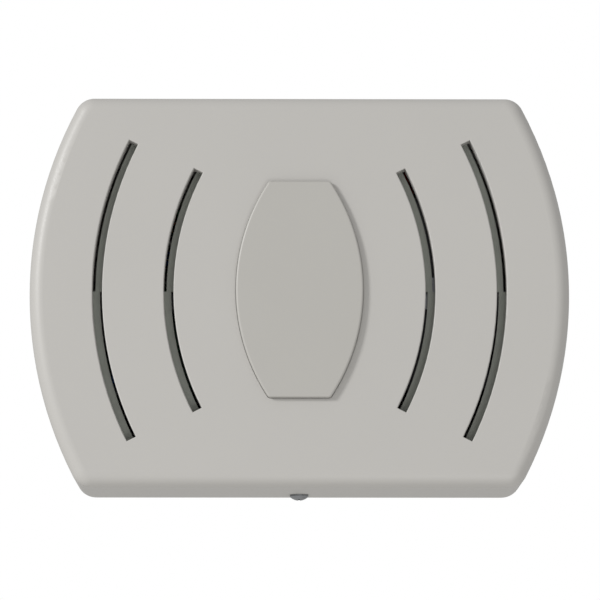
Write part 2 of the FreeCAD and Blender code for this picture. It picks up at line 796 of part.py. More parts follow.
def terminal_places():
    """The Z of each way of the terminal block."""
    first = TERMINAL_Z - TERMINAL_PITCH * (TERMINAL_WAYS - 1) / 2
    return [first + TERMINAL_PITCH * way for way in range(TERMINAL_WAYS)]


def terminal_block():
    """The screw terminal block for the incoming wires, with a step and wire holes."""
    length = TERMINAL_PITCH * TERMINAL_WAYS
    body = on_board(TERMINAL_X, TERMINAL_Z, 9.0, length, TERMINAL_RISE)
    step = block((TERMINAL_X + 2.0, TERMINAL_X + 6), (BOARD_FACE + 7.5, BOARD_FACE + 20),
                 (TERMINAL_Z - length, TERMINAL_Z + length))
    cuts = [step]
    for z in terminal_places():
        cuts.append(rod(TERMINAL_X - 0.8, z, TERMINAL_SCREW_R + 0.15,
                        (BOARD_FACE + TERMINAL_RISE - 2.5, BOARD_FACE + 20)))
        cuts.append(block((TERMINAL_X + 1.5, TERMINAL_X + 6), (BOARD_FACE + 1.2, BOARD_FACE + 5.2),
                          (z - 1.7, z + 1.7)))
    return body.cut(cuts)


def terminal_screws():
    """The clamp screws of the terminal block."""
    screws = []
    top = BOARD_FACE + TERMINAL_RISE - 0.6
    for z in terminal_places():
        screw = rod(TERMINAL_X - 0.8, z, TERMINAL_SCREW_R, (BOARD_FACE + TERMINAL_RISE - 2.5, top))
        slot = block((TERMINAL_X - 3, TERMINAL_X + 2), (top - 0.7, top + 1), (z - 0.3, z + 0.3))
        screws.append(screw.cut(slot))
    return group(screws)


def relay():
    """The sealed relay."""
    box = on_board(BOARD_X - 16.5, -33.0, 15.4, 19.0, 15.2)
    return box.makeFillet(0.8, edges_on_face(box, BOARD_FACE + 15.2) + edges_standing_out(box))


def capacitors():
    """Upright electrolytic capacitors, with a rolled groove near the foot and a scored top."""
    cans = []
    for x, z, radius, rise in CAPACITORS:
        foot, top = BOARD_FACE, BOARD_FACE + rise
        can = turned(x, z, [
            (0, foot), (radius, foot), (radius, foot + 1.6), (radius - 0.5, foot + 2.2),
            (radius, foot + 2.8), (radius, top - 0.7), (radius - 0.7, top), (0, top),
        ])
        score = [
            block((x - radius * 0.7, x + radius * 0.7), (top - 0.3, top + 1), (z - 0.2, z + 0.2)),
            block((x - 0.2, x + 0.2), (top - 0.3, top + 1), (z - radius * 0.7, z + radius * 0.7)),
        ]
        cans.append(can.cut(score))
    return group(cans)


def coil_core():
    """The ring core of the step-up coil, lying on the board."""
    lift = BOARD_FACE + COIL_CORE_R + 2 * COIL_WIRE_R
    return Part.makeTorus(COIL_R, COIL_CORE_R, at(COIL_X, lift, COIL_Z), at(0, 1, 0))


def coil_winding():
    """The separate turns of copper wire round the ring core."""
    lift = BOARD_FACE + COIL_CORE_R + 2 * COIL_WIRE_R
    turns = []
    for turn in range(COIL_TURNS):
        angle = math.radians(30 + 300 * turn / (COIL_TURNS - 1))
        radial = FreeCAD.Vector(math.cos(angle), 0, math.sin(angle))
        centre = at(COIL_X, lift, COIL_Z) + radial * COIL_R
        tangent = FreeCAD.Vector(-math.sin(angle), 0, math.cos(angle))
        reach = COIL_CORE_R + COIL_WIRE_R + PRESS_PLAY
        turns.append(Part.makeTorus(reach, COIL_WIRE_R, centre, tangent))
    return group(turns)


def chips():
    """The moulded bodies of the controller and driver chips."""
    bodies = []
    for x, z, width, length, _ in CHIPS:
        body = on_board(x, z, width, length, CHIP_RISE, CHIP_LIFT)
        dot = rod(x - width / 4, z + length / 2 - 1.6, 0.6,
                  (BOARD_FACE + CHIP_LIFT + CHIP_RISE - 0.25, BOARD_FACE + 9))
        bodies.append(body.cut(dot))
    return group(bodies)


def chip_legs():
    """The bent legs along both sides of the chips."""
    legs = []
    middle = BOARD_FACE + CHIP_LIFT + CHIP_RISE / 2
    for x, z, width, _, rows in CHIPS:
        for side in SIDES:
            edge = x + side * width / 2
            for row in range(rows):
                leg_z = z + 2.3 * (row - (rows - 1) / 2)
                span = (leg_z - 0.35, leg_z + 0.35)
                shoulder = block((edge, edge + side * 1.1), (middle - 0.15, middle + 0.15), span)
                drop = block((edge + side * 0.8, edge + side * 1.1), (BOARD_FACE, middle), span)
                legs.append(fuse([shoulder, drop]))
    return group(legs)


def heat_sink():
    """A finned aluminium heat sink for the driver transistor."""
    back = on_board(SINK_X, SINK_Z + 4.0, 16.0, 2.0, 16.0)
    fins = [on_board(SINK_X + offset, SINK_Z + 7.4, 1.2, 5.2, 16.0)
            for offset in (-7.4, -3.7, 0.0, 3.7, 7.4)]
    return fuse([back] + fins)


def transistor():
    """The driver transistor, flat against the heat sink."""
    face = SINK_Z + 3.0
    body = block((SINK_X - 5, SINK_X + 5), (BOARD_FACE + 3.5, BOARD_FACE + 12.5), (face - 4.4, face))
    tab = block((SINK_X - 5, SINK_X + 5), (BOARD_FACE + 12.5, BOARD_FACE + 15.5), (face - 1.3, face))
    legs = [block((SINK_X + x - 0.4, SINK_X + x + 0.4), (BOARD_FACE, BOARD_FACE + 3.5),
                  (face - 2.8, face - 2.2)) for x in (-2.5, 0.0, 2.5)]
    return fuse([body, tab] + legs)


def fuse_link():
    """The glass fuse's tube."""
    out = BOARD_FACE + FUSE_LIFT + FUSE_R
    reach = FUSE_LENGTH / 2 - 5
    return crossbar(out, FUSE_Z, FUSE_R - 0.2, (FUSE_X - reach, FUSE_X + reach))


def fuse_caps():
    """The two metal caps of the fuse."""
    out = BOARD_FACE + FUSE_LIFT + FUSE_R
    return group([
        crossbar(out, FUSE_Z, FUSE_R, (FUSE_X + side * (FUSE_LENGTH / 2 - 5),
                                       FUSE_X + side * FUSE_LENGTH / 2))
        for side in SIDES
    ])


def fuse_clips():
    """The sprung clips that hold the fuse's caps."""
    clips = []
    out = BOARD_FACE + FUSE_LIFT + FUSE_R
    for side in SIDES:
        middle = FUSE_X + side * (FUSE_LENGTH / 2 - 2.5)
        span = (middle - 1.8, middle + 1.8)
        foot = block(span, (BOARD_FACE, out), (FUSE_Z - FUSE_R - 0.4, FUSE_Z + FUSE_R + 0.4))
        ring = crossbar(out, FUSE_Z, FUSE_R + 0.4, span)
        bore = crossbar(out, FUSE_Z, FUSE_R + PRESS_PLAY, span)
        top = block(span, (out + FUSE_R * 0.6, out + 9), (FUSE_Z - 9, FUSE_Z + 9))
        under = block(span, (BOARD_FACE + 0.4, out), (FUSE_Z - FUSE_R, FUSE_Z + FUSE_R))
        clips.append(fuse([foot, ring]).cut([bore, top, under]))
    return group(clips)


def status_led():
    """The indicator lamp."""
    foot = BOARD_FACE
    return turned(LED_X, LED_Z, [
        (0, foot), (1.9, foot), (1.9, foot + 0.9), (1.5, foot + 0.9), (1.5, foot + 3.4),
        (1.3, foot + 4.1), (0.8, foot + 4.7), (0, foot + 4.9),
    ])


def dip_places():
    """The X of each slider of the setting switch."""
    first = DIP_X - DIP_PITCH * (DIP_WAYS - 1) / 2
    return [first + DIP_PITCH * way for way in range(DIP_WAYS)]


def setting_switch():
    """The body of the four-way setting switch, with a pocket for each slider."""
    body = on_board(DIP_X, DIP_Z, DIP_PITCH * DIP_WAYS + 1.4, 7.0, DIP_RISE)
    top = BOARD_FACE + DIP_RISE
    half = DIP_KNOB / 2 + DIP_PLAY
    run = DIP_KNOB + DIP_SLIDE + 2 * DIP_PLAY
    pockets = [
        block((x - half, x + half), (top - DIP_POCKET, top + 1), (DIP_Z - run / 2, DIP_Z + run / 2))
        for x in dip_places()
    ]
    return body.cut(pockets)


def setting_slider(x):
    """One slider of the setting switch, at the lower end of its pocket."""
    top = BOARD_FACE + DIP_RISE
    low = DIP_Z - (DIP_KNOB + DIP_SLIDE) / 2
    return block((x - DIP_KNOB / 2, x + DIP_KNOB / 2), (top - DIP_POCKET + DIP_PLAY, top + 0.5),
                 (low, low + DIP_KNOB))


def volume_trimmer():
    """The square body of the volume trimmer, with a round pocket for its rotor."""
    body = on_board(TRIM_X, TRIM_Z, TRIM_SIDE, TRIM_SIDE, TRIM_RISE)
    top = BOARD_FACE + TRIM_RISE
    return body.cut(rod(TRIM_X, TRIM_Z, TRIM_ROTOR_R + DIP_PLAY, (top - TRIM_POCKET, top + 1)))


def trimmer_rotor():
    """The trimmer's rotor, with a cross slot and a pointer notch."""
    top = BOARD_FACE + TRIM_RISE + 0.4
    rotor = rod(TRIM_X, TRIM_Z, TRIM_ROTOR_R, (BOARD_FACE + TRIM_RISE - TRIM_POCKET + DIP_PLAY, top))
    cuts = [
        block((TRIM_X - 1.5, TRIM_X + 1.5), (top - 0.7, top + 1), (TRIM_Z - 0.3, TRIM_Z + 0.3)),
        block((TRIM_X - 0.3, TRIM_X + 0.3), (top - 0.7, top + 1), (TRIM_Z - 1.5, TRIM_Z + 2.6)),
    ]
    return rotor.cut(cuts)


def lead_headers():
    """The two-pin sockets for the battery and loudspeaker leads, each with its plug in."""
    sockets = []
    for z, width, height in ((BATTERY_HEADER_Z, HEADER_LONG, HEADER_SHORT),
                             (SPEAKER_HEADER_Z, HEADER_SHORT, HEADER_LONG)):
        shroud = on_board(HEADER_X, z, width, height, HEADER_RISE)
        sockets.append(shroud.makeFillet(0.4, edges_standing_out(shroud)))
    return group(sockets)


# ---------------------------------------------------------------- battery

def battery_case():
    """The sealed battery, with a lid line round it and two terminal wells on top."""
    half = BATTERY_WIDTH / 2
    body = block((BATTERY_X - half, BATTERY_X + half), (BATTERY_BACK, BATTERY_FACE),
                 (-BATTERY_TOP, BATTERY_TOP))
    body = body.makeFillet(2.0, [edge for edge in body.Edges if edge.BoundBox.ZLength > 10])
    outer = block((BATTERY_X - half - 1, BATTERY_X + half + 1), (BATTERY_BACK - 1, BATTERY_FACE + 1),
                  (BATTERY_TOP - 8.0, BATTERY_TOP - 7.3))
    inner = block((BATTERY_X - half + 0.5, BATTERY_X + half - 0.5),
                  (BATTERY_BACK + 0.5, BATTERY_FACE - 0.5), (BATTERY_TOP - 9, BATTERY_TOP - 6))
    return body.cut(outer.cut(inner))


def tab_places():
    """The X of the two battery terminals, red first."""
    return [BATTERY_X + side * TAB_SPACING / 2 for side in SIDES]


def battery_tabs():
    """The two flat terminals on the battery's top."""
    tabs = []
    for x in tab_places():
        blade = block((x - TAB_WIDTH / 2, x + TAB_WIDTH / 2), (TAB_OUT, TAB_OUT + TAB_THICK),
                      (BATTERY_TOP, BATTERY_TOP + TAB_HEIGHT))
        foot = block((x - TAB_WIDTH / 2, x + TAB_WIDTH / 2), (TAB_OUT - 4, TAB_OUT + TAB_THICK),
                     (BATTERY_TOP, BATTERY_TOP + TAB_THICK))
        tabs.append(fuse([blade, foot]))
    return group(tabs)


def push_on_sleeve(x):
    """The insulating sleeve of a push-on terminal, over a battery tab."""
    low = BATTERY_TOP + SLEEVE_LIFT
    middle = TAB_OUT + TAB_THICK / 2
    body = block((x - 4.0, x + 4.0), (middle - 2.2, middle + 2.2), (low, low + 9))
    neck = upright(x, middle, 2.2, (low + 8, low + SLEEVE_LENGTH))
    pocket = block((x - TAB_WIDTH / 2 - 0.02, x + TAB_WIDTH / 2 + 0.02),
                   (TAB_OUT - 0.02, TAB_OUT + TAB_THICK + 0.02), (low - 1, BATTERY_TOP + TAB_HEIGHT))
    return fuse([body.makeFillet(1.0, [e for e in body.Edges if e.BoundBox.ZLength > 5]), neck]).cut(pocket)


def battery_lead(name, x, lift, side):
    """A lead from a battery terminal over the loudspeaker to the board's battery socket."""
    middle = TAB_OUT + TAB_THICK / 2
    start = BATTERY_TOP + SLEEVE_LIFT + SLEEVE_LENGTH
    end_x = HEADER_X + side * HEADER_PITCH / 2
    header = BATTERY_HEADER_Z
    top = BOARD_FACE + HEADER_RISE
    points = [
        (x, middle, start), (x, middle, start + 9), (x - 5, middle + 0.5, start + 16 + lift),
        (x - 15, middle + 2, start + 21 + lift), (x - 45, middle + 4, start + 22.5 + lift),
        (-10, middle + 6, start + 22 + lift), (-34 + side, middle + 7, start + 19 + lift),
        (end_x + 6, middle + 9, start + 9 + lift), (end_x + 1, middle + 9.5, header + 18),
        (end_x, middle + 8, header + 7), (end_x, top + 8.5, header), (end_x, top, header),
    ]
    return lead(name, points, BATTERY_LEAD_R)


def battery_strap():
    """The steel band over the battery, with a foot each side."""
    inner = BATTERY_WIDTH / 2 + BATTERY_PLAY
    outer = inner + STRAP_THICK
    half = STRAP_WIDTH / 2
    over = BATTERY_FACE + BATTERY_PLAY
    z_span = (-half, half)
    pieces = [block((BATTERY_X - outer, BATTERY_X + outer), (over, over + STRAP_THICK), z_span)]
    for side in SIDES:
        near, far = BATTERY_X + side * inner, BATTERY_X + side * outer
        end = BATTERY_X + side * (outer + STRAP_FOOT)
        pieces.append(block((near, far), (STRAP_POST_OUT, over + STRAP_THICK), z_span))
        pieces.append(block((near, end), (STRAP_POST_OUT, STRAP_POST_OUT + STRAP_THICK), z_span))
    holes = [rod(x, z, STRAP_SCREW_R + 0.2, (STRAP_POST_OUT - 1, STRAP_POST_OUT + 3))
             for x, z in strap_screw_places()]
    return fuse(pieces).cut(holes)


# ---------------------------------------------------------------- loudspeaker

def speaker_frame():
    """The pressed steel basket: a square flange, a cone with four windows and a back cup."""
    half = SPEAKER_SIDE / 2
    back = SPEAKER_OUT - SPEAKER_FLANGE
    flange = block((-half, half), (back, SPEAKER_OUT), (SPEAKER_Z - half, SPEAKER_Z + half))
    flange = flange.makeFillet(5.0, edges_standing_out(flange))
    flange = flange.cut(rod(0, SPEAKER_Z, SPEAKER_RIM_R - 1, (back - 1, SPEAKER_OUT + 1)))
    wall = 1.0
    basket = turned(0, SPEAKER_Z, [
        (SPEAKER_RIM_R, back + TINY), (SPEAKER_RIM_R - 2, back - 5),
        (SPEAKER_MAGNET_R, SPEAKER_BACK_OUT + 1.5), (SPEAKER_MAGNET_R, SPEAKER_BACK_OUT),
        (SPEAKER_NECK_R - 4, SPEAKER_BACK_OUT), (SPEAKER_NECK_R - 4, SPEAKER_BACK_OUT + wall),
        (SPEAKER_MAGNET_R - wall, SPEAKER_BACK_OUT + 1 + wall), (SPEAKER_RIM_R - 2 - wall, back - 4),
        (SPEAKER_RIM_R - wall, back + TINY),
    ])
    windows = []
    for turn in (0, 90, 180, 270):
        window = block((SPEAKER_MAGNET_R + 2, SPEAKER_RIM_R + 5),
                       (SPEAKER_BACK_OUT + 4, back - 6), (SPEAKER_Z - 12, SPEAKER_Z + 12))
        window.rotate(at(0, 0, SPEAKER_Z), at(0, 1, 0), turn)
        windows.append(window)
    holes = [rod(x, z, SPEAKER_SCREW_R + 0.3, (back - 1, SPEAKER_OUT + 1))
             for x, z in speaker_hole_places()]
    return fuse([flange, basket.cut(windows)]).cut(holes)


def speaker_posts():
    """Four tall spacers, each pressed into the wall plate and tapped for a screw."""
    top = SPEAKER_OUT - SPEAKER_FLANGE
    posts = []
    for x, z in speaker_hole_places():
        post = fuse([
            rod(x, z, SPEAKER_POST_R, (PLATE, top)),
            rod(x, z, SPEAKER_STUD_R, (PLATE - SPEAKER_STUD, PLATE + OVERLAP)),
        ])
        posts.append(post.cut(rod(x, z, SPEAKER_SCREW_R, (top - 12, top + 1))))
    return group(posts)


def speaker_magnet():
    """The ring magnet and its back plate."""
    back = SPEAKER_BACK_OUT - SPEAKER_MAGNET
    return turned(0, SPEAKER_Z, [
        (0, back), (SPEAKER_MAGNET_R - 3, back), (SPEAKER_MAGNET_R - 3, back + 2),
        (SPEAKER_MAGNET_R, back + 2), (SPEAKER_MAGNET_R, SPEAKER_BACK_OUT - 2),
        (SPEAKER_MAGNET_R - 2, SPEAKER_BACK_OUT - 2), (SPEAKER_MAGNET_R - 2, SPEAKER_BACK_OUT),
        (0, SPEAKER_BACK_OUT),
    ])


def speaker_cone():
    """The paper cone, from the surround down to the voice coil."""
    rim = SPEAKER_OUT - SPEAKER_FLANGE + 0.5
    neck = SPEAKER_BACK_OUT + 7
    return turned(0, SPEAKER_Z, [
        (SPEAKER_CONE_R, rim), (SPEAKER_CONE_R, rim - 0.8), (20.0, neck + 5.2),
        (SPEAKER_CAP_R - 1, neck), (SPEAKER_CAP_R - 1, SPEAKER_BACK_OUT + 1.2),
        (SPEAKER_CAP_R, SPEAKER_BACK_OUT + 1.2), (SPEAKER_CAP_R, neck),
        (20.4, neck + 6.0),
    ])


def speaker_surround():
    """The rolled rubber edge between the cone and the basket, with its clamping ring."""
    seat = SPEAKER_OUT - SPEAKER_FLANGE + 0.5
    inner, outer = SPEAKER_CONE_R + PRESS_PLAY, SPEAKER_RIM_R - 1 - PRESS_PLAY
    middle = (inner + outer) / 2
    return turned(0, SPEAKER_Z, [
        (inner, seat - 0.6), (inner, seat + 0.2), (inner + 0.8, seat + 1.2), (middle, seat + 2.0),
        (outer - 0.8, seat + 1.2), (outer, seat + 0.2), (outer, seat - 0.4),
        (outer - 0.8, seat + 0.4), (middle, seat + 1.2), (inner + 0.8, seat + 0.4),
    ])


def speaker_cap():
    """The domed dust cap in the middle of the cone."""
    neck = SPEAKER_BACK_OUT + 7
    return turned(0, SPEAKER_Z, [
        (SPEAKER_CAP_R + 0.4, neck + 0.3), (SPEAKER_CAP_R - 2, neck + 2.9), (6.0, neck + 4.4),
        (3.0, neck + 5.2), (0, neck + 5.5), (0, neck + 4.9), (3.0, neck + 4.6), (6.0, neck + 3.8),
        (SPEAKER_CAP_R - 2.4, neck + 2.2), (SPEAKER_CAP_R - 0.2, neck + 0.2),
    ])


def speaker_leads():
    """The two leads from the loudspeaker's tags to the board."""
    top = BOARD_FACE + HEADER_RISE
    tag_out = SPEAKER_BACK_OUT - SPEAKER_MAGNET / 2
    tag_x = -SPEAKER_MAGNET_R
    leads = []
    for side in SIDES:
        z = SPEAKER_HEADER_Z + side * HEADER_PITCH / 2
        points = [
            (tag_x, tag_out, z + 2), (tag_x - 7, tag_out + 1, z + 2),
            (tag_x - 15, tag_out + 8, z + 1), (HEADER_X + 7, top + 11, z + 0.5),
            (HEADER_X, top + 8, z), (HEADER_X, top, z),
        ]
        name = "upper speaker lead" if side > 0 else "lower speaker lead"
        leads.append(lead(name, points, SPEAKER_LEAD_R))
    return group(leads)


# ---------------------------------------------------------------- tamper switch

def switch_body():
    """The tamper switch's moulded body."""
    half = SWITCH_LENGTH / 2
    body = block((SWITCH_X - half, SWITCH_X + half), (SWITCH_SHELF_OUT, SWITCH_FACE),
                 (SWITCH_Z - SWITCH_WIDTH / 2, SWITCH_Z + SWITCH_WIDTH / 2))
    body = body.makeFillet(0.5, edges_standing_out(body))
    ear_span = (LEVER_PIVOT_X - 1.2, LEVER_PIVOT_X + 1.2)
    ears = []
    for side in SIDES:
        near = SWITCH_Z + side * (LEVER_WIDTH / 2 + 0.1)
        far = SWITCH_Z + side * SWITCH_WIDTH / 2
        ears.append(block(ear_span, (SWITCH_FACE - OVERLAP, LEVER_FACE + 0.8), (near, far)))
    cuts = [
        rod(BUTTON_X, SWITCH_Z, SWITCH_BUTTON_R + SWITCH_PLAY, (SWITCH_FACE - 2.5, SWITCH_FACE + 3)),
        upright(LEVER_PIVOT_X, LEVER_BACK, LEVER_PIN_R + SWITCH_PLAY,
                (SWITCH_Z - SWITCH_WIDTH, SWITCH_Z + SWITCH_WIDTH)),
    ]
    return fuse([body] + ears).cut(cuts)


def tamper_button():
    """The switch's small button, held down by the lever."""
    return rod(BUTTON_X, SWITCH_Z, SWITCH_BUTTON_R, (SWITCH_FACE - 1.3, BUTTON_FACE))


def tamper_lever():
    """The sprung steel lever with its pivot pin."""
    z_span = (SWITCH_Z - LEVER_WIDTH / 2, SWITCH_Z + LEVER_WIDTH / 2)
    leaf = block((LEVER_PIVOT_X, LEVER_TIP_X), (LEVER_BACK, LEVER_FACE), z_span)
    curl = upright(LEVER_PIVOT_X, LEVER_BACK, LEVER_PIN_R, (SWITCH_Z - SWITCH_WIDTH / 2,
                                                          SWITCH_Z + SWITCH_WIDTH / 2))
    return fuse([leaf, curl])


def switch_tags():
    """The three solder tags on the side of the switch."""
    tags = []
    low = SWITCH_Z - SWITCH_WIDTH / 2
    for offset in (-7.0, 0.0, 7.0):
        x = SWITCH_X + offset
        tags.append(block((x - 1.2, x + 1.2), (SWITCH_SHELF_OUT + 1.2, SWITCH_SHELF_OUT + 1.7),
                          (low - 4.0, low)))
    return group(tags)


# ---------------------------------------------------------------- the whole object

def build_all():
    """Every node by name."""
    red_x, black_x = tab_places()
    nodes = {
        "front_cover": front_cover(),
        "badge_plate": badge_plate(),
        "badge_clips": badge_clips(),
        "base_plate": base_plate(),
        "hinge_pins": hinge_pins(),
        "cable_grommet": cable_grommet(),
        "cover_screw": cover_screw(),
        "cover_washer": cover_washer(),
        "screw_insert": screw_insert(),
        "circuit_board": circuit_board(),
        "board_screws": small_screws(
            board_hole_places(), BOARD_SCREW_R - DIP_PLAY, BOARD_SCREW_HEAD_R, BOARD_FACE, 6.5),
        "terminal_block": terminal_block(),
        "terminal_screws": terminal_screws(),
        "relay": relay(),
        "capacitors": capacitors(),
        "coil_core": coil_core(),
        "coil_winding": coil_winding(),
        "chips": chips(),
        "chip_legs": chip_legs(),
        "heat_sink": heat_sink(),
        "transistor": transistor(),
        "fuse_link": fuse_link(),
        "fuse_caps": fuse_caps(),
        "fuse_clips": fuse_clips(),
        "status_led": status_led(),
        "setting_switch": setting_switch(),
        "volume_trimmer": volume_trimmer(),
        "trimmer_rotor": trimmer_rotor(),
        "lead_headers": lead_headers(),
        "battery_case": battery_case(),
        "battery_tabs": battery_tabs(),
        "sleeve_red": push_on_sleeve(red_x),
        "sleeve_black": push_on_sleeve(black_x),
        "battery_lead_red": battery_lead("red battery lead", red_x, 0.0, 1),
        "battery_lead_black": battery_lead("black battery lead", black_x, 3.2, -1),
        "battery_strap": battery_strap(),
        "strap_screws": small_screws(
            strap_screw_places(), STRAP_SCREW_R - DIP_PLAY, 2.8, STRAP_POST_OUT + STRAP_THICK, 5.0),
        "speaker_posts": speaker_posts(),
        "speaker_frame": speaker_frame(),
        "speaker_magnet": speaker_magnet(),
        "speaker_cone": speaker_cone(),
        "speaker_surround": speaker_surround(),
        "speaker_cap": speaker_cap(),
        "speaker_screws": small_screws(
            speaker_hole_places(), SPEAKER_SCREW_R - DIP_PLAY, 3.2, SPEAKER_OUT, 10.0),
        "speaker_leads": speaker_leads(),
        "switch_body": switch_body(),
        "switch_tags": switch_tags(),
        "tamper_button": tamper_button(),
        "tamper_lever": tamper_lever(),
    }
    for number, x in enumerate(dip_places(), start=1):
        nodes[f"setting_slider_{number}"] = setting_slider(x)
    return nodes


os.makedirs("parts", exist_ok=True)
for node, shape in build_all().items():
    if not shape.isValid():
        print(f"{node}: the shape is not valid")
    shape.exportStep(os.path.join("parts", f"{node}.step"))
    print(f"{node}: {len(shape.Solids)} solids, {shape.Volume:.1f} cubic mm")
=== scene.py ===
"""Looks of a wall-mounted alarm sounder: finishes, fine pieces, light and camera.

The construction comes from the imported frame. Each sub-assembly below is a class that dresses its
own nodes and adds the fine pieces that belong to it. Everything is in metres, in the frame's axes:
the wall is the plane y = 0, the unit stands out towards -y, and z is up.
"""

from __future__ import annotations

import logging
import math
import random
from dataclasses import dataclass, field
from enum import Enum
from typing import Any, Callable, Iterable, Mapping, Sequence

import bmesh
import bpy
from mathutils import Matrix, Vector

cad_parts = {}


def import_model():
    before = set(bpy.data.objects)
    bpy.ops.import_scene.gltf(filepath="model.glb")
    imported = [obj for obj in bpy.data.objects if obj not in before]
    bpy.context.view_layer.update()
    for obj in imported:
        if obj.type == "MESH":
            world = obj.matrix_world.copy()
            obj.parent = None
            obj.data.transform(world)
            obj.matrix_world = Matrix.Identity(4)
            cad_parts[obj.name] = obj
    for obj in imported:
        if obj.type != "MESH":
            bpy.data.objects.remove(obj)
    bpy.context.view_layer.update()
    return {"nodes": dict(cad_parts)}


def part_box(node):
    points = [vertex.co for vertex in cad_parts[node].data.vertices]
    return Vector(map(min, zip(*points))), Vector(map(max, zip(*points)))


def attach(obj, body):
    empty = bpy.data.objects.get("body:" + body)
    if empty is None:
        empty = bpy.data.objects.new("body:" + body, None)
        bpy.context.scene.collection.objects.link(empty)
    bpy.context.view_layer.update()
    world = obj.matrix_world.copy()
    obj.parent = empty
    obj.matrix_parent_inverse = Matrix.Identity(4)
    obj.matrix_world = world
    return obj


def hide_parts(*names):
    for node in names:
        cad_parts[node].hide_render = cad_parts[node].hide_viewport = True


LOG = logging.getLogger("sounder")
MM = 0.001
POLE_R = 0.002  # mm: a profile point nearer the axis than this is a pole
MERGE = 0.002 * MM
SLIVER = 0.001 * MM
Colour = tuple[float, float, float, float]
Point = tuple[float, float, float]
Flat = tuple[float, float]
Bus = tuple[tuple[Flat, ...], int, float, float]
Axial = tuple[float, float, float, float, bool]
Tree = bpy.types.NodeTree
Node = bpy.types.Node
Socket = bpy.types.NodeSocket
Thing = bpy.types.Object
Polygon = bpy.types.MeshPolygon


# ---------------------------------------------------------------- colour and nodes


def linear(hex_colour: str) -> Colour:
    """Turns an sRGB hex colour into a linear one.

    Args:
        hex_colour: six hex digits with a leading #.

    Returns:
        Linear red, green, blue and an alpha of 1.
    """
    channels = [int(hex_colour[i : i + 2], 16) / 255 for i in (1, 3, 5)]
    turned = [c / 12.92 if c <= 0.04045 else ((c + 0.055) / 1.055) ** 2.4 for c in channels]
    return (turned[0], turned[1], turned[2], 1.0)


def per_mm(size_mm: float) -> float:
    """The texture scale that makes a pattern's feature size_mm across."""
    return 1.0 / (size_mm * MM)


def add_node(
    tree: Tree,
    kind: str,
    settings: Mapping[str, Any] | None = None,
    inputs: Mapping[Any, Any] | None = None,
    stops: Sequence[tuple[float, Colour]] = (),
) -> Node:
    """Adds a node with its settings, and sets or links its inputs.

    Args:
        tree: the node tree that takes the node.
        kind: the node's type name.
        settings: attribute values.
        inputs: a value, or another node's output socket, for each named or numbered input.
        stops: position and colour of each stop, for a node that has a ramp.

    Returns:
        The new node.
    """
    node = tree.nodes.new(kind)
    for name, value in (settings or {}).items():
        setattr(node, name, value)
    for index, (position, colour) in enumerate(stops):
        elements = node.color_ramp.elements
        stop = elements[index] if index < 2 else elements.new(position)
        stop.position, stop.color = position, colour
    for key, value in (inputs or {}).items():
        if isinstance(value, Socket):
            tree.links.new(value, node.inputs[key])
        else:
            node.inputs[key].default_value = value
    return node


def grey(value: float) -> Colour:
    """An opaque grey of one linear value."""
    return (value, value, value, 1.0)


def shade(colour: Colour, share: float) -> Colour:
    """The same colour, lighter or darker by a share of itself."""
    return (colour[0] * share, colour[1] * share, colour[2] * share, 1.0)


@dataclass(frozen=True)
class Finish:
    """What every finish shares: its name, sRGB colour and surface numbers. Moulded and rolled
    skins really have a grain of 0.05 to 0.2 mm; it is drawn coarser here so that it shows."""

    name: str
    colour: str
    roughness: float = 0.5
    metallic: float = 0.0
    ior: float = 1.5
    drift_mm: float = 40.0
    drift: float = 0.03
    grain_mm: float = 0.6
    grain_depth_mm: float = 0.01
    rough_swing: float = 0.06

    def build(self) -> bpy.types.Material:
        """Makes the material, or returns the one already made.

        Returns:
            The material.
        """
        found = bpy.data.materials.get(self.name)
        if found:
            return found
        material = bpy.data.materials.new(self.name)
        material.use_nodes = True
        tree = material.node_tree
        tree.nodes.clear()
        place = add_node(tree, "ShaderNodeTexCoord").outputs["Object"]
        values = {"Metallic": self.metallic} if self.metallic else {"IOR": self.ior}
        shader = add_node(tree, "ShaderNodeBsdfPrincipled", inputs=values)
        self.dress(tree, shader, place)
        add_node(tree, "ShaderNodeOutputMaterial", inputs={"Surface": shader.outputs[0]})
        return material

    def base_colour(self, tree: Tree, place: Socket) -> Socket:
        """The finish's colour with a slow drift over the surface.

        Args:
            tree: the material's nodes.
            place: object coordinates.

        Returns:
            The colour.
        """
        values = {"Vector": place, "Scale": per_mm(self.drift_mm), "Detail": 3.0}
        cloud = add_node(tree, "ShaderNodeTexNoise", inputs=values).outputs["Fac"]
        colour = linear(self.colour)
        stops = ((0.3, shade(colour, 1 - self.drift)), (0.7, shade(colour, 1 + self.drift)))
        drifted = add_node(tree, "ShaderNodeValToRGB", inputs={"Fac": cloud}, stops=stops)
        return drifted.outputs["Color"]

    def grain(self, tree: Tree, place: Socket) -> Socket:
        """The height of the surface grain, 0 to 1.

        Args:
            tree: the material's nodes.
            place: object coordinates.

        Returns:
            The height.
        """
        values = {"Vector": place, "Scale": per_mm(self.grain_mm), "Detail": 4.0}
        return add_node(tree, "ShaderNodeTexNoise", inputs=values).outputs["Fac"]

    def dress(self, tree: Tree, shader: Node, place: Socket) -> None:
        """Links colour, roughness and bump to the shader.

        Args:
            tree: the material's nodes.
            shader: the shader that takes them.
            place: object coordinates.
        """
        height = self.grain(tree, place)
        low = max(0.02, self.roughness - self.rough_swing)
        high = min(1.0, self.roughness + self.rough_swing)
        stops = ((0.3, grey(low)), (0.7, grey(high)))
        rough = add_node(tree, "ShaderNodeValToRGB", inputs={"Fac": height}, stops=stops)
        values = {"Height": height, "Distance": self.grain_depth_mm * MM}
        bump = add_node(tree, "ShaderNodeBump", inputs=values)
        tree.links.new(rough.outputs["Color"], shader.inputs["Roughness"])
        tree.links.new(bump.outputs["Normal"], shader.inputs["Normal"])
        self.paint(tree, shader, place)

    def paint(self, tree: Tree, shader: Node, place: Socket) -> None:
        """Links the colour to the shader."""
        tree.links.new(self.base_colour(tree, place), shader.inputs["Base Color"])


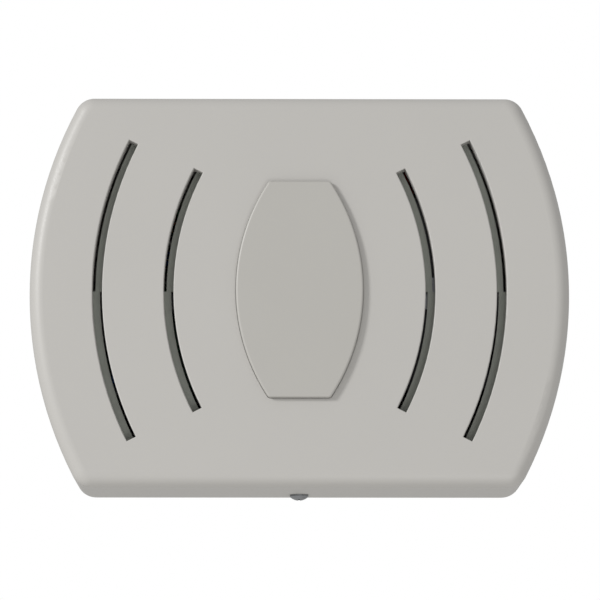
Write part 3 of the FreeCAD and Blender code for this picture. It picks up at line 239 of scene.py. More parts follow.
@dataclass(frozen=True)
class MouldedPlastic(Finish):
    """Injection-moulded plastic: an even satin skin copied from a spark-eroded mould, with the
    faint flow clouds and the few dark specks that such mouldings carry."""

    speck_mm: float = 26.0
    speck_share: float = 0.02
    speck_colour: str = "#6E6A62"

    def base_colour(self, tree: Tree, place: Socket) -> Socket:
        """The drifting colour with a few specks in it.

        Args:
            tree: the material's nodes.
            place: object coordinates.

        Returns:
            The colour.
        """
        ground = super().base_colour(tree, place)
        values = {"Vector": place, "Scale": per_mm(self.speck_mm)}
        cells = add_node(tree, "ShaderNodeTexVoronoi", inputs=values).outputs["Distance"]
        stops = ((self.speck_share * 0.5, grey(0.6)), (self.speck_share, grey(0.0)))
        speck = add_node(tree, "ShaderNodeValToRGB", inputs={"Fac": cells}, stops=stops)
        values = {"Factor": speck.outputs["Color"], 6: ground, 7: linear(self.speck_colour)}
        return add_node(tree, "ShaderNodeMix", {"data_type": "RGBA"}, values).outputs[2]


@dataclass(frozen=True)
class WorkedMetal(Finish):
    """Plated, drawn or rolled metal: fine parallel lines along one axis over a slow drift."""

    line_mm: float = 0.35
    stretch: Point = (1.0, 1.0, 0.06)

    def grain(self, tree: Tree, place: Socket) -> Socket:
        """Lines, made by stretching the noise along one axis.

        Args:
            tree: the material's nodes.
            place: object coordinates.

        Returns:
            Their height.
        """
        values = {"Vector": place, "Scale": self.stretch}
        drawn = add_node(tree, "ShaderNodeMapping", inputs=values).outputs["Vector"]
        values = {"Vector": drawn, "Scale": per_mm(self.line_mm), "Detail": 5.0}
        return add_node(tree, "ShaderNodeTexNoise", inputs=values).outputs["Fac"]


@dataclass(frozen=True)
class GlassLaminate(Finish):
    """Green solder mask over woven glass cloth: the weave just shows as a fine crossed grain."""

    thread_mm: float = 0.9  # the real threads are 0.4 mm apart, too fine to show
    waves_a_unit: float = 20.0  # a wave texture at scale 1 has this many bands to a unit

    def grain(self, tree: Tree, place: Socket) -> Socket:
        """Two crossed sets of threads, multiplied.

        Args:
            tree: the material's nodes.
            place: object coordinates.

        Returns:
            Their height.
        """
        scale = per_mm(self.thread_mm * self.waves_a_unit)
        values = {"Vector": place, "Scale": scale, "Distortion": 0.4}
        threads = {}
        for number, way in enumerate(("X", "Z")):
            wave = add_node(tree, "ShaderNodeTexWave", {"bands_direction": way}, values)
            threads[number] = wave.outputs["Fac"]
        return add_node(tree, "ShaderNodeMath", {"operation": "MULTIPLY"}, threads).outputs[0]


@dataclass(frozen=True)
class ClearResin(Finish):
    """Glass or clear resin: sharp gloss with light passing through, so its colour is constant."""

    clarity: float = 0.9

    def paint(self, tree: Tree, shader: Node, place: Socket) -> None:
        """Sets the clear body's colour and how much light passes."""
        shader.inputs["Base Color"].default_value = linear(self.colour)
        shader.inputs["Transmission Weight"].default_value = self.clarity


class Finishes(Enum):
    """Every finish on the object, named for the real material and how its surface was made."""

    # Warm grey ABS, moulded with a fine satin skin: soft broad highlights, no mirror gloss.
    COVER = MouldedPlastic(
        "abs_satin_warm_grey", "#B3B1AD", 0.46, grain_mm=0.9, grain_depth_mm=0.012, drift=0.008,
        drift_mm=70.0, speck_mm=34.0, speck_share=0.012,
    )
    # The same ABS in the bottom of the sound slots, painted darker as shade in the recess, and rougher.
    SLOT_FLOOR_PAINTED_SHADE = MouldedPlastic(
        "abs_satin_painted_slot_shade", "#8A8D86", 0.66, grain_mm=0.7, grain_depth_mm=0.02, drift=0.05,
        drift_mm=9.0,
    )
    # The same ABS from another mould, a touch darker and smoother.
    BADGE = MouldedPlastic(
        "abs_satin_badge_grey", "#ACAAA5", 0.42, grain_mm=0.7, grain_depth_mm=0.008, drift=0.008,
        drift_mm=50.0, speck_mm=30.0, speck_share=0.01,
    )
    # ABS of the wall plate, a little lighter, with a coarser unpolished skin.
    PLATE = MouldedPlastic(
        "abs_plate_light_grey", "#B9B7B2", 0.55, grain_mm=1.0, grain_depth_mm=0.02, drift=0.02
    )
    # Zinc plating on steel, weathered: greyish, fine lines, slightly cloudy.
    ZINC = WorkedMetal(
        "zinc_plated_steel", "#8F9194", 0.32, 1.0, grain_depth_mm=0.004, drift_mm=3.0, drift=0.10
    )
    # Bare spring steel, rolled: grey with lengthways lines.
    SPRING = WorkedMetal(
        "rolled_spring_steel", "#8D8C89", 0.34, 1.0, grain_depth_mm=0.004, drift_mm=4.0,
        stretch=(0.06, 1.0, 1.0),
    )
    # Turned brass: warm, with fine rings.
    BRASS = WorkedMetal("turned_brass", "#C29C52", 0.3, 1.0, drift_mm=3.0, stretch=(1.0, 1.0, 9.0))
    # Tin plating on copper alloy: pale, soft sheen.
    TIN = WorkedMetal("tinned_copper_alloy", "#B7B6B1", 0.34, 1.0, drift_mm=2.0, drift=0.08)
    # Solder: bright tin alloy that froze with a smooth, slightly cratered skin.
    SOLDER = Finish(
        "frozen_solder", "#B9BABC", 0.22, 1.0, drift_mm=1.0, drift=0.10, grain_mm=0.8,
        grain_depth_mm=0.03,
    )
    # Extruded aluminium, with the long lines of the die.
    ALUMINIUM = WorkedMetal(
        "extruded_aluminium", "#A9ABAD", 0.36, 1.0, drift_mm=5.0, stretch=(1.0, 0.05, 1.0)
    )
    # Heat-shrunk PVC sleeve of a capacitor: dark blue, tight and glossy.
    SLEEVE = Finish(
        "shrunk_pvc_sleeve", "#23324F", 0.28, grain_mm=2.5, grain_depth_mm=0.02, drift_mm=6.0,
        drift=0.10,
    )
    # Steel basket, pressed and dipped in black lacquer: half gloss with slight orange peel.
    LACQUER = Finish(
        "black_lacquered_steel", "#2A2A2B", 0.34, grain_mm=1.4, grain_depth_mm=0.015
    )
    # Enamelled copper wire: reddish metal under clear varnish.
    COPPER = WorkedMetal("enamelled_copper", "#A9602F", 0.24, 1.0, drift_mm=2.0, drift=0.14)
    # Moulded rubber: near black, dry.
    RUBBER = Finish("moulded_rubber", "#232322", 0.78, grain_mm=0.5, grain_depth_mm=0.02)
    # Sintered ferrite: dark grey, sandy.
    FERRITE = Finish("sintered_ferrite", "#3A3A3C", 0.62, grain_mm=0.3, grain_depth_mm=0.02)
    # Glass laminate under green solder mask, and the lighter green where mask covers copper.
    BOARD = GlassLaminate("solder_mask_on_glass", "#1B5232", 0.34, grain_depth_mm=0.006)
    TRACK = Finish(
        "solder_mask_on_copper", "#3A8A54", 0.28, grain_mm=1.2, grain_depth_mm=0.006, drift=0.05
    )
    # Screen-printed white ink: flat, a little ragged in gloss.
    PRINT = Finish("screen_printed_ink", "#D9DAD3", 0.7, grain_mm=0.3, grain_depth_mm=0.01)
    # Lacquered carbon-film resistor: beige dip coat with painted bands.
    RESISTOR = Finish("dipped_beige_lacquer", "#C3A272", 0.36, grain_mm=0.8, grain_depth_mm=0.02)
    BAND = Finish("painted_band_brown", "#5B2A19", 0.4, grain_mm=0.5, grain_depth_mm=0.01)
    # Dipped ceramic disc: dull orange-brown resin.
    CERAMIC = Finish(
        "dipped_ochre_resin", "#B77432", 0.5, grain_mm=0.9, grain_depth_mm=0.03, drift_mm=2.0,
        drift=0.08,
    )
    # Nylon of the terminal block: green, slightly waxy.
    TERMINAL = MouldedPlastic("nylon_green", "#2E8B4F", 0.4, speck_share=0.002, drift=0.04)
    # Relay case: glossy blue thermoplastic.
    RELAY = MouldedPlastic("pbt_blue", "#2B5FA8", 0.3, speck_share=0.002, grain_mm=0.8)
    # Moulded epoxy of chips and switches: black with a fine matt skin.
    EPOXY = Finish("moulded_epoxy_black", "#262628", 0.55, grain_mm=0.25, grain_depth_mm=0.01)
    # Clear drawn glass tube.
    GLASS = ClearResin("drawn_clear_glass", "#F2F5F4", 0.04, grain_mm=6.0, rough_swing=0.01)
    # Red-tinted epoxy lamp.
    LAMP = ClearResin("red_tinted_epoxy", "#C8321E", 0.12, ior=1.55, clarity=0.6)
    # Blue and white switch mouldings.
    SWITCH = MouldedPlastic("polyester_blue", "#2F5FB3", 0.38, speck_share=0.002, grain_mm=0.5)
    NYLON = MouldedPlastic("nylon_natural_white", "#DAD7CC", 0.44, speck_share=0.002, grain_mm=0.5)
    # Red thermoplastic of the tamper switch's button: small gloss moulding.
    BUTTON = MouldedPlastic("pbt_red", "#A82A1F", 0.32, speck_share=0.002, grain_mm=0.5)
    # Battery case: dark grey ABS with a coarse matt skin.
    BATTERY = MouldedPlastic(
        "abs_battery_dark_grey", "#46474A", 0.52, grain_mm=0.8, grain_depth_mm=0.03, drift=0.05
    )
    # Soft PVC insulation, red and black, slightly glossy.
    RED_PVC = Finish("extruded_pvc_red", "#A8211B", 0.33, grain_mm=1.5, grain_depth_mm=0.01)
    BLACK_PVC = Finish("extruded_pvc_black", "#1F1F20", 0.36, grain_mm=1.5, grain_depth_mm=0.01)
    # Pressed paper pulp of the loudspeaker cone: felted fibres, almost no gloss.
    PAPER = Finish(
        "pressed_paper_pulp", "#4A453F", 0.88, drift_mm=2.5, drift=0.22, grain_mm=0.7,
        grain_depth_mm=0.10,
    )
    # Doped cloth of the surround and cap: darker, rubbery, with a fine weave.
    SURROUND = Finish(
        "doped_cloth", "#2E2C2B", 0.6, drift_mm=4.0, drift=0.12, grain_mm=0.45, grain_depth_mm=0.05
    )
    CAP_CLOTH = Finish(
        "pressed_felt_cap", "#38342F", 0.8, drift_mm=3.0, drift=0.15, grain_mm=0.5,
        grain_depth_mm=0.08,
    )
    # Grey board gasket: punched card, matt and fibrous.
    GASKET = Finish(
        "punched_grey_board", "#7D7566", 0.9, drift_mm=3.0, drift=0.10, grain_mm=0.5,
        grain_depth_mm=0.05,
    )

    def material(self) -> bpy.types.Material:
        """The finish's material."""
        return self.value.build()


# ---------------------------------------------------------------- mesh making


def mm(*values: float) -> Point:
    """A point given in millimetres as (x, out from the wall, z), turned into the frame's metres."""
    x, out, z = values
    return (x * MM, -out * MM, z * MM)


def angles(steps: int) -> list[float]:
    """Evenly spaced angles, once round."""
    return [math.tau * step / steps for step in range(steps)]


def band(row: int, after: int, steps: int) -> list[tuple[int, ...]]:
    """The faces that join two closed rows of points.

    Args:
        row: the first row's number.
        after: the second row's number.
        steps: how many points a row has.

    Returns:
        Corner numbers of each face.
    """
    low, high = row * steps, after * steps
    turns = [(step, (step + 1) % steps) for step in range(steps)]
    return [(low + a, low + b, high + b, high + a) for a, b in turns]


@dataclass
class MeshParts:
    """Gathers points and faces of several closed forms into one mesh."""

    verts: list[Vector] = field(default_factory=list)
    faces: list[tuple[int, ...]] = field(default_factory=list)

    def add(self, verts: Iterable[Sequence[float]], faces: Iterable[Sequence[int]]) -> None:
        """Adds one form's points and faces.

        Args:
            verts: points in metres.
            faces: corner numbers, counted from 0 in this form.
        """
        start = len(self.verts)
        self.verts.extend(Vector(v) for v in verts)
        self.faces.extend(tuple(start + i for i in face) for face in faces)

    def lathe(
        self,
        profile: Sequence[Flat],
        place: Callable[[float, float, float], Point],
        steps: int = 48,
        wave: Callable[[float, float], float] | None = None,
    ) -> None:
        """Adds a turned form, closed round and along its profile.

        Args:
            profile: radius and height of each profile point, in mm.
            place: turns (across, along, height) in mm into a point in metres.
            steps: divisions round.
            wave: height added at an angle and a radius, in mm.
        """
        verts, faces = [], []
        for radius, height in profile:
            for angle in angles(steps):
                lift = wave(angle, radius) if wave else 0.0
                across, along = radius * math.cos(angle), radius * math.sin(angle)
                verts.append(place(across, along, height + lift))
        rows = len(profile)
        for row in range(rows):
            after = (row + 1) % rows
            if max(profile[row][0], profile[after][0]) < POLE_R:
                continue
            faces += band(row, after, steps)
        self.add(verts, faces)

    def tube(self, points: Sequence[Sequence[float]], radius: float, steps: int = 12) -> None:
        """Adds a capped round bar through points.

        Args:
            points: the bar's middle line, in metres.
            radius: its radius in metres.
            steps: divisions round.
        """
        line = [Vector(p) for p in points]
        verts, faces = [], []
        side = None
        for index, point in enumerate(line):
            before, after = line[max(0, index - 1)], line[min(len(line) - 1, index + 1)]
            along = (after - before).normalized()
            if side is None:
                side = along.orthogonal().normalized()
            side = (side - along * side.dot(along)).normalized()
            other = along.cross(side)
            for angle in angles(steps):
                verts.append(point + (side * math.cos(angle) + other * math.sin(angle)) * radius)
            if index:
                faces += band(index - 1, index, steps)
        last = (len(line) - 1) * steps
        faces.append(tuple(range(steps)))
        faces.append(tuple(last + step for step in range(steps)))
        self.add(verts, faces)

    def slab(self, outline: Sequence[Flat], low: float, high: float) -> None:
        """Adds a flat plate lying on the board.

        Args:
            outline: x and z of its corners in mm, in order.
            low: its lower face's distance from the wall in mm.
            high: its upper face's distance from the wall in mm.
        """
        count = len(outline)
        verts = [mm(x, low, z) for x, z in outline] + [mm(x, high, z) for x, z in outline]
        faces: list[tuple[int, ...]] = [tuple(range(count)), tuple(range(count, 2 * count))]
        for index in range(count):
            after = (index + 1) % count
            faces.append((index, after, count + after, count + index))
        self.add(verts, faces)

    def piece(
        self, name: str, finish: Finishes, body: str, slot: str, smooth_angle: float = 35.0
    ) -> Thing:
        """Makes the gathered forms into one piece that rides on a body.

        Args:
            name: the piece's name.
            finish: its finish.
            body: the body it rides on.
            slot: not used.
            smooth_angle: edges sharper than this many degrees stay sharp.

        Returns:
            The new object.
        """
        mesh = bpy.data.meshes.new(name)
        mesh.from_pydata([tuple(v) for v in self.verts], [], self.faces)
        form = bmesh.new()
        form.from_mesh(mesh)
        bmesh.ops.remove_doubles(form, verts=form.verts, dist=MERGE)
        bmesh.ops.dissolve_degenerate(form, edges=form.edges, dist=SLIVER)
        gaps = [edge for edge in form.edges if edge.is_boundary]
        if gaps:
            bmesh.ops.holes_fill(form, edges=gaps, sides=0)
        bmesh.ops.recalc_face_normals(form, faces=form.faces)
        limit = math.radians(smooth_angle)
        for face in form.faces:
            face.smooth = True
        for edge in form.edges:
            edge.smooth = len(edge.link_faces) == 2 and edge.calc_face_angle(0.0) < limit
        form.to_mesh(mesh)
        form.free()
        mesh.materials.append(finish.material())
        LOG.info("made %s, %d faces", name, len(mesh.polygons))
        piece = bpy.data.objects.new(name, mesh)
        bpy.context.scene.collection.objects.link(piece)
        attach(piece, body)
        return piece


def rounded(points: Sequence[Vector], share: float = 0.3, cuts: int = 4) -> list[Vector]:
    """Rounds the corners of a bent wire's middle line.

    Args:
        points: the wire's corners.
        share: how far the bend reaches along the shorter run beside it.
        cuts: divisions of each bend.

    Returns:
        The rounded line.
    """
    line = [points[0]]
    for before, corner, after in zip(points, points[1:], points[2:]):
        reach = share * min((corner - before).length, (after - corner).length)
        start = corner + (before - corner).normalized() * reach
        end = corner + (after - corner).normalized() * reach
        for cut in range(cuts + 1):
            t = cut / cuts
            line.append(start * (1 - t) ** 2 + corner * 2 * t * (1 - t) + end * t * t)
    line.append(points[-1])
    return line


# ---------------------------------------------------------------- dressing CAD nodes


def dress_nodes(nodes: Mapping[str, Thing], choice: Mapping[Finishes, str]) -> None:
    """Gives CAD nodes their finishes.

    Args:
        nodes: the frame's nodes by name.
        choice: the names of the nodes that take each finish.
    """
    for finish, names in choice.items():
        for name in names.split():
            mesh = nodes[name].data
            mesh.materials.clear()
            mesh.materials.append(finish.material())


def dress_faces(
    node: Thing, finish: Finishes, chosen: Callable[[Polygon], bool]
) -> int:
    """Gives some faces of a node a second finish.

    Args:
        node: the node.
        finish: the finish of the chosen faces.
        chosen: says whether a face is chosen.

    Returns:
        How many faces took it.
    """
    mesh = node.data
    mesh.materials.append(finish.material())
    index = len(mesh.materials) - 1
    taken = [face for face in mesh.polygons if chosen(face)]
    for face in taken:
        face.material_index = index
    return len(taken)


@dataclass
class Housing:
    """The cover, badge, wall plate and what joins them."""

    slot_floor_out: float = 53.0
    slot_reach_z: float = 78.0
    choice: dict[Finishes, str] = field(
        default_factory=lambda: {
            Finishes.COVER: "front_cover",
            Finishes.BADGE: "badge_plate",
            Finishes.SPRING: "badge_clips",
            Finishes.PLATE: "base_plate",
            Finishes.ZINC: "hinge_pins cover_screw cover_washer",
            Finishes.RUBBER: "cable_grommet",
            Finishes.BRASS: "screw_insert",
        }
    )

    def build(self, nodes: Mapping[str, Thing]) -> None:
        """Dresses the housing and paints the floors of the sound slots darker, as shade.

        Args:
            nodes: the frame's nodes by name.
        """
        dress_nodes(nodes, self.choice)
        # The slot floors take a darker copy of the cover's plastic: painted shade in the recess.
        floors = dress_faces(nodes["front_cover"], Finishes.SLOT_FLOOR_PAINTED_SHADE, self.on_slot_floor)
        LOG.info("slot floor faces: %d", floors)

    def on_slot_floor(self, face: Polygon) -> bool:
        """Whether a face of the cover lies on the floor of a sound slot.

        Args:
            face: one of the cover's faces.

        Returns:
            True on a slot floor.
        """
        out = -face.center.y / MM
        level = face.normal.y < -0.99 and abs(out - self.slot_floor_out) < 0.3
        return level and abs(face.center.z) / MM < self.slot_reach_z


@dataclass
class CoverScrew:
    """The cover's M5 button-head screw, with a real thread on its shank."""

    pitch: float = 0.8
    crest_r: float = 2.5
    root_r: float = 2.03
    tip_chamfer: float = 0.5
    root_depth: float = 0.3
    flank_share: float = 0.85
    rows_a_turn: int = 8
    steps: int = 32

    def build(self, nodes: Mapping[str, Thing]) -> None:
        """Keeps the CAD head, threads the shank, and stands in for the CAD screw.

        Args:
            nodes: the frame's nodes by name.
        """
        low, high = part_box("cover_screw")
        washer_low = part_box("cover_washer")[0].z / MM
        axis_out = -(low.y + high.y) / 2 / MM
        parts = MeshParts()
        self.head(parts, nodes["cover_screw"].data, washer_low * MM)
        self.shank(parts, axis_out, washer_low - self.root_depth, high.z / MM)
        screw = parts.piece("cover_screw_threaded", Finishes.ZINC, "screw", "zinc_steel", 30.0)
        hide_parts("cover_screw")

    def head(self, parts: MeshParts, mesh: bpy.types.Mesh, top: float) -> None:
        """Copies the faces of the head from the CAD mesh.

        Args:
            parts: takes the faces.
            mesh: the CAD screw's mesh.
            top: the height in metres where the head ends.
        """
        kept = [face for face in mesh.polygons if face.center.z < top + 0.00002]
        used = sorted({i for face in kept for i in face.vertices})
        number = {old: new for new, old in enumerate(used)}
        verts = [mesh.vertices[i].co for i in used]
        parts.add(verts, [[number[i] for i in face.vertices] for face in kept])

    def shank(self, parts: MeshParts, axis_out: float, start: float, end: float) -> None:
        """Adds the threaded shank, whose rows of points follow the helix.

        Args:
            parts: takes the faces.
            axis_out: the axis's distance from the wall in mm.
            start: the height of its lower end in mm.
            end: the height of its tip in mm.
        """
        rows = int((end - start) / self.pitch * self.rows_a_turn) + self.rows_a_turn
        verts, faces = [], []
        for row in range(rows + 1):
            phase = row % self.rows_a_turn / self.rows_a_turn
            crest = 1.0 - min(1.0, abs(phase - 0.5) * 2 / self.flank_share)
            for step in range(self.steps + 1):
                turn = step / self.steps
                z = start + self.pitch * (row / self.rows_a_turn + turn - 1.0)
                rise = crest if z > start else 0.0
                z = min(max(z, start), end)
                radius = self.root_r + (self.crest_r - self.root_r) * rise
                radius = min(radius, self.crest_r - self.tip_chamfer + (end - z))
                angle = math.tau * turn
                verts.append(mm(radius * math.sin(angle), axis_out + radius * math.cos(angle), z))
        width = self.steps + 1
        for row in range(rows):
            for step in range(self.steps):
                a = row * width + step
                faces.append((a, a + 1, a + 1 + width, a + width))
        parts.add(verts, faces)
        for radius, z in ((self.root_r, start), (self.crest_r - self.tip_chamfer, end)):
            turns = angles(self.steps)
            rim = [mm(radius * math.sin(a), axis_out + radius * math.cos(a), z) for a in turns]
            parts.add(rim, [tuple(range(self.steps))])


@dataclass
class Board:
    """The circuit board, what is soldered to it, and the fine pieces that finish it."""

    face: float = 11.6
    track_rise: float = 0.05
    print_rise: float = 0.07
    print_width: float = 0.22
    ring_steps: int = 40
    sunk: float = 0.02
    lead_r: float = 0.27
    thin_lead_r: float = 0.22
    coil_wire_r: float = 0.42
    waist_share: float = 0.82
    band_width: float = 0.42
    band_rise: float = 0.025
    seed: int = 4
    choice: dict[Finishes, str] = field(
        default_factory=lambda: {
            Finishes.BOARD: "circuit_board",
            Finishes.ZINC: "board_screws terminal_screws",
            Finishes.TERMINAL: "terminal_block",
            Finishes.RELAY: "relay",
            Finishes.SLEEVE: "capacitors",
            Finishes.FERRITE: "coil_core",
            Finishes.COPPER: "coil_winding",
            Finishes.EPOXY: "chips transistor",
            Finishes.TIN: "chip_legs fuse_caps",
            Finishes.ALUMINIUM: "heat_sink",
            Finishes.GLASS: "fuse_link",
            Finishes.SPRING: "fuse_clips",
            Finishes.LAMP: "status_led",
            Finishes.SWITCH: "setting_switch volume_trimmer",
            Finishes.NYLON: (
                "trimmer_rotor lead_headers setting_slider_1 setting_slider_2 "
                "setting_slider_3 setting_slider_4"
            ),
        }
    )
    # Each bus is a run of side-by-side tracks: corner points, how many, their pitch and width.
    buses: tuple[Bus, ...] = (
        (((-79.3, 13.0), (-74.5, 13.0), (-71.5, 10.0), (-71.5, -14.0), (-60.0, -25.5)), 7, 0.95, 0.5),
        (((-88.8, 13.0), (-92.5, 13.0), (-94.8, 10.7), (-94.8, -20.0)), 3, 1.1, 0.6),
        (((-84.0, 23.5), (-84.0, 27.5), (-79.0, 29.5), (-71.0, 29.5)), 4, 1.0, 0.5),
        (((-56.0, 4.0), (-57.2, 4.0), (-57.2, -8.0), (-54.5, -10.7)), 2, 0.9, 0.5),
        (((-79.5, -39.0), (-77.0, -41.5), (-77.0, -46.5), (-58.0, -46.5), (-54.0, -42.5)), 3, 1.3, 0.9),
        (((-70.0, 31.5), (-72.2, 33.7), (-72.2, 40.5), (-66.0, 46.7), (-54.0, 46.7)), 2, 1.6, 1.1),
        (((-46.5, 14.0), (-46.5, -8.0), (-49.0, -10.5)), 2, 1.0, 0.5),
        (((-63.0, 18.8), (-63.0, 17.4), (-73.0, 17.4), (-76.5, 20.9), (-79.3, 20.9)), 3, 0.8, 0.45),
    )
    # Axial parts: middle x and z, length and radius of the body, and whether it lies along z.
    resistors: tuple[Axial, ...] = (
        (-72.6, -22.5, 4.4, 0.95, False), (-72.6, -19.0, 4.4, 0.95, False),
        (-72.6, -15.5, 4.4, 0.95, False), (-72.6, -12.0, 4.4, 0.95, False),
        (-72.6, -8.5, 4.4, 0.95, False), (-74.3, -3.0, 4.4, 0.95, False),
        (-74.3, 1.0, 4.4, 0.95, False), (-74.3, 5.0, 4.4, 0.95, False),
        (-92.3, 6.5, 4.4, 0.95, True), (-92.3, 18.5, 4.4, 0.95, True),
        (-65.0, 38.0, 4.4, 0.95, False), (-65.0, 41.5, 4.4, 0.95, False),
    )
    diodes: tuple[Axial, ...] = (
        (-84.0, -47.0, 4.6, 1.2, False), (-70.0, -46.6, 4.6, 1.2, False),
        (-57.6, -46.6, 4.6, 1.2, False),
    )
    ceramic_caps: tuple[Flat, ...] = (
        (-51.0, -5.2), (-84.0, 0.6), (-71.6, 23.5), (-65.0, 45.0),
    )

    # Printed outlines: middle x and z with width and height, or with a radius.
    print_frames: tuple[tuple[float, float, float, float], ...] = (
        (-84.0, 13.0, 9.8, 20.8), (-51.0, 4.0, 9.6, 10.8), (-87.5, -33.0, 16.4, 20.0),
        (-60.5, 31.5, 21.6, 7.4), (-63.0, 23.0, 12.6, 8.2), (-53.5, 39.5, 9.2, 6.8),
        (-53.5, 13.5, 6.8, 9.2), (-81.5, 38.6, 18.6, 19.0),
    )
    print_rings: tuple[Point, ...] = (
        (-68.5, -36.0, 7.1), (-63.0, -1.0, 5.6), (-63.0, 11.0, 5.6), (-86.5, -11.0, 9.9),
    )
    # Where each end of the coil's wire leaves the winding, and where it meets the board.
    coil_wires: tuple[tuple[Point, Point], ...] = (
        ((-81.3, 17.6, -8.0), (-76.9, 11.3, -5.4)),
        ((-81.3, 17.6, -14.0), (-76.9, 11.3, -16.8)),
    )

    def build(self, nodes: Mapping[str, Thing]) -> None:
        """Dresses the board and adds tracks, print, joints and small parts.

        Args:
            nodes: the frame's nodes by name.
        """
        dress_nodes(nodes, self.choice)
        dress_faces(nodes["capacitors"], Finishes.ALUMINIUM, self.on_can_top)
        self.tracks()
        self.print_lines()
        joints: list[Flat] = []
        for name, finish, slot, rows in (
            ("board_resistors", Finishes.RESISTOR, "white_plastic", self.resistors),
            ("board_diodes", Finishes.EPOXY, "black_moulding", self.diodes),
        ):
            joints += self.axial_parts(name, finish, slot, rows)
        joints += self.ceramics()
        joints += self.coil_ends()
        self.solder(joints)

    def on_can_top(self, face: Polygon) -> bool:
        """Whether a face of a capacitor is on its bare metal top.

        Args:
            face: one of the capacitors' faces.

        Returns:
            True on the top.
        """
        out = -face.center.y / MM
        return face.normal.y < -0.3 and out > self.face + 15.0

    def tracks(self) -> None:
        """Lays the copper tracks, which stand up slightly under the mask."""
        parts = MeshParts()
        for points, count, pitch, width in self.buses:
            for number in range(count):
                shift = (number - (count - 1) / 2) * pitch
                self.strip(parts, offset_line(points, shift), width, self.track_rise)
        parts.piece("board_tracks", Finishes.TRACK, "base", "board_laminate")

    def strip(
        self, parts: MeshParts, line: Sequence[Flat], width: float, rise: float
    ) -> None:
        """Adds a flat strip along a line on the board.

        Args:
            parts: takes the strip.
            line: x and z of its corners in mm.
            width: its width in mm.
            rise: how far it stands above the board in mm.
        """
        left, right = offset_line(line, width / 2), offset_line(line, -width / 2)
        parts.slab(left + right[::-1], self.face - self.sunk, self.face + rise)

    def print_lines(self) -> None:
        """Adds the printed white outlines round the parts, with no lettering."""
        parts = MeshParts()
        outlines = []
        for x, z, width, height in self.print_frames:
            ways = ((-0.5, -0.5), (0.5, -0.5), (0.5, 0.5), (-0.5, 0.5), (-0.5, -0.5))
            outlines.append([(x + width * across, z + height * up) for across, up in ways])
        for x, z, radius in self.print_rings:
            turns = angles(self.ring_steps) + [math.tau]
            outlines.append([(x + radius * math.cos(a), z + radius * math.sin(a)) for a in turns])
        for outline in outlines:
            for ends in zip(outline, outline[1:]):
                self.strip(parts, ends, self.print_width, self.print_rise)
        parts.piece("board_print", Finishes.PRINT, "base", "white_plastic")

    def axial_parts(
        self, name: str, finish: Finishes, slot: str,
        rows: Sequence[Axial],
    ) -> list[Flat]:
        """Adds parts that lie on the board with a bent wire at each end.

        Args:
            name: the pieces' name.
            finish: the bodies' finish.
            slot: the bodies' material slot.
            rows: middle x and z, body length and radius, and whether it lies along z.

        Returns:
            The x and z of each soldered wire end.
        """
        bodies, wires, bands, joints = MeshParts(), MeshParts(), MeshParts(), []
        banded = finish is Finishes.RESISTOR
        for x, z, length, radius, upright in rows:
            half, lie = length / 2, self.face + radius + 0.25

            def place(across: float, along: float, height: float) -> Point:
                """A point of the part, with height along its axis."""
                spot = (across, height) if upright else (height, across)
                return mm(x + spot[0], lie + along, z + spot[1])

            waist = (self.waist_share if banded else 1.0) * radius
            front = [(POLE_R / 2, -half), (0.6 * radius, -half), (radius, -half + 0.35),
                     (radius, -half + 1.0), (waist, -half + 1.35)]
            bodies.lathe(front + [(r, -height) for r, height in reversed(front)], place, 24)
            ends = ((radius, -half + 0.55), (radius, half - 0.95))
            marks = (*ends, (waist, -0.65), (waist, 0.15)) if banded else ((radius, 1.1),)
            for under, low in marks:
                outer, high = under + self.band_rise, low + self.band_width
                ring = [(0.7 * radius, low), (outer, low), (outer, high), (0.7 * radius, high)]
                bands.lathe(ring, place, 24)
            for side in (-1, 1):
                reach = side * (half + 1.5)
                bend = ((side * (half - 0.2), lie), (reach, lie), (reach, self.face - 0.3))
                line = [Vector(mm(x, out, z + a) if upright else mm(x + a, out, z)) for a, out in bend]
                wires.tube(rounded(line), self.lead_r * MM, 10)
                joints.append((x, z + reach) if upright else (x + reach, z))
        bodies.piece(name, finish, "base", slot)
        bands.piece(name + "_bands", Finishes.BAND if banded else Finishes.TIN, "base", slot)
        wires.piece(name + "_wires", Finishes.TIN, "base", "tinned_metal")
        return joints

    def ceramics(self) -> list[Flat]:
        """Adds small dipped ceramic capacitors on edge.

        Returns:
            The x and z of each soldered wire end.
        """
        bodies, wires, joints = MeshParts(), MeshParts(), []
        for x, z in self.ceramic_caps:
            middle = self.face + 3.6

            def place(across: float, along: float, height: float) -> Point:
                """A point of the disc, with height through its thickness."""
                return mm(x + across, middle + along, z + height)

            half = [(POLE_R / 2, -0.95), (1.2, -0.9), (2.0, -0.65), (2.35, -0.2)]
            bodies.lathe(half + [(r, -height) for r, height in reversed(half)], place, 28)
            for foot in (-1.25, 1.25):
                bend = ((0.8 * foot, middle - 1.6), (foot, self.face + 1.2), (foot, self.face - 0.3))
                line = [Vector(mm(x + across, out, z)) for across, out in bend]
                wires.tube(rounded(line), self.thin_lead_r * MM, 10)
                joints.append((x + foot, z))
        bodies.piece("board_ceramics", Finishes.CERAMIC, "base", "white_plastic")
        wires.piece("board_ceramic_wires", Finishes.TIN, "base", "tinned_metal")
        return joints

    def coil_ends(self) -> list[Flat]:
        """Brings the two ends of the coil's wire down to the board.

        Returns:
            The x and z of each soldered wire end.
        """
        wires = MeshParts()
        for start, end in self.coil_wires:
            above = (end[0], self.face + 1.6, end[2])
            over = ((start[0] + end[0]) / 2 + 0.6, start[1] + 0.3, (start[2] + end[2]) / 2)
            line = [Vector(mm(*point)) for point in (start, over, above, end)]
            wires.tube(rounded(line, 0.45, 6), self.coil_wire_r * MM, 12)
        wires.piece("coil_ends", Finishes.COPPER, "base", "copper_wire")
        return [(end[0], end[2]) for _, end in self.coil_wires]

    def solder(self, places: Sequence[Flat]) -> None:
        """Adds a dome of solder round each wire end, each a little different.

        Args:
            places: x and z of each wire end in mm.
        """
        chance = random.Random(self.seed)
        domes = MeshParts()
        for x, z in places:
            size = 0.62 + 0.1 * chance.random()

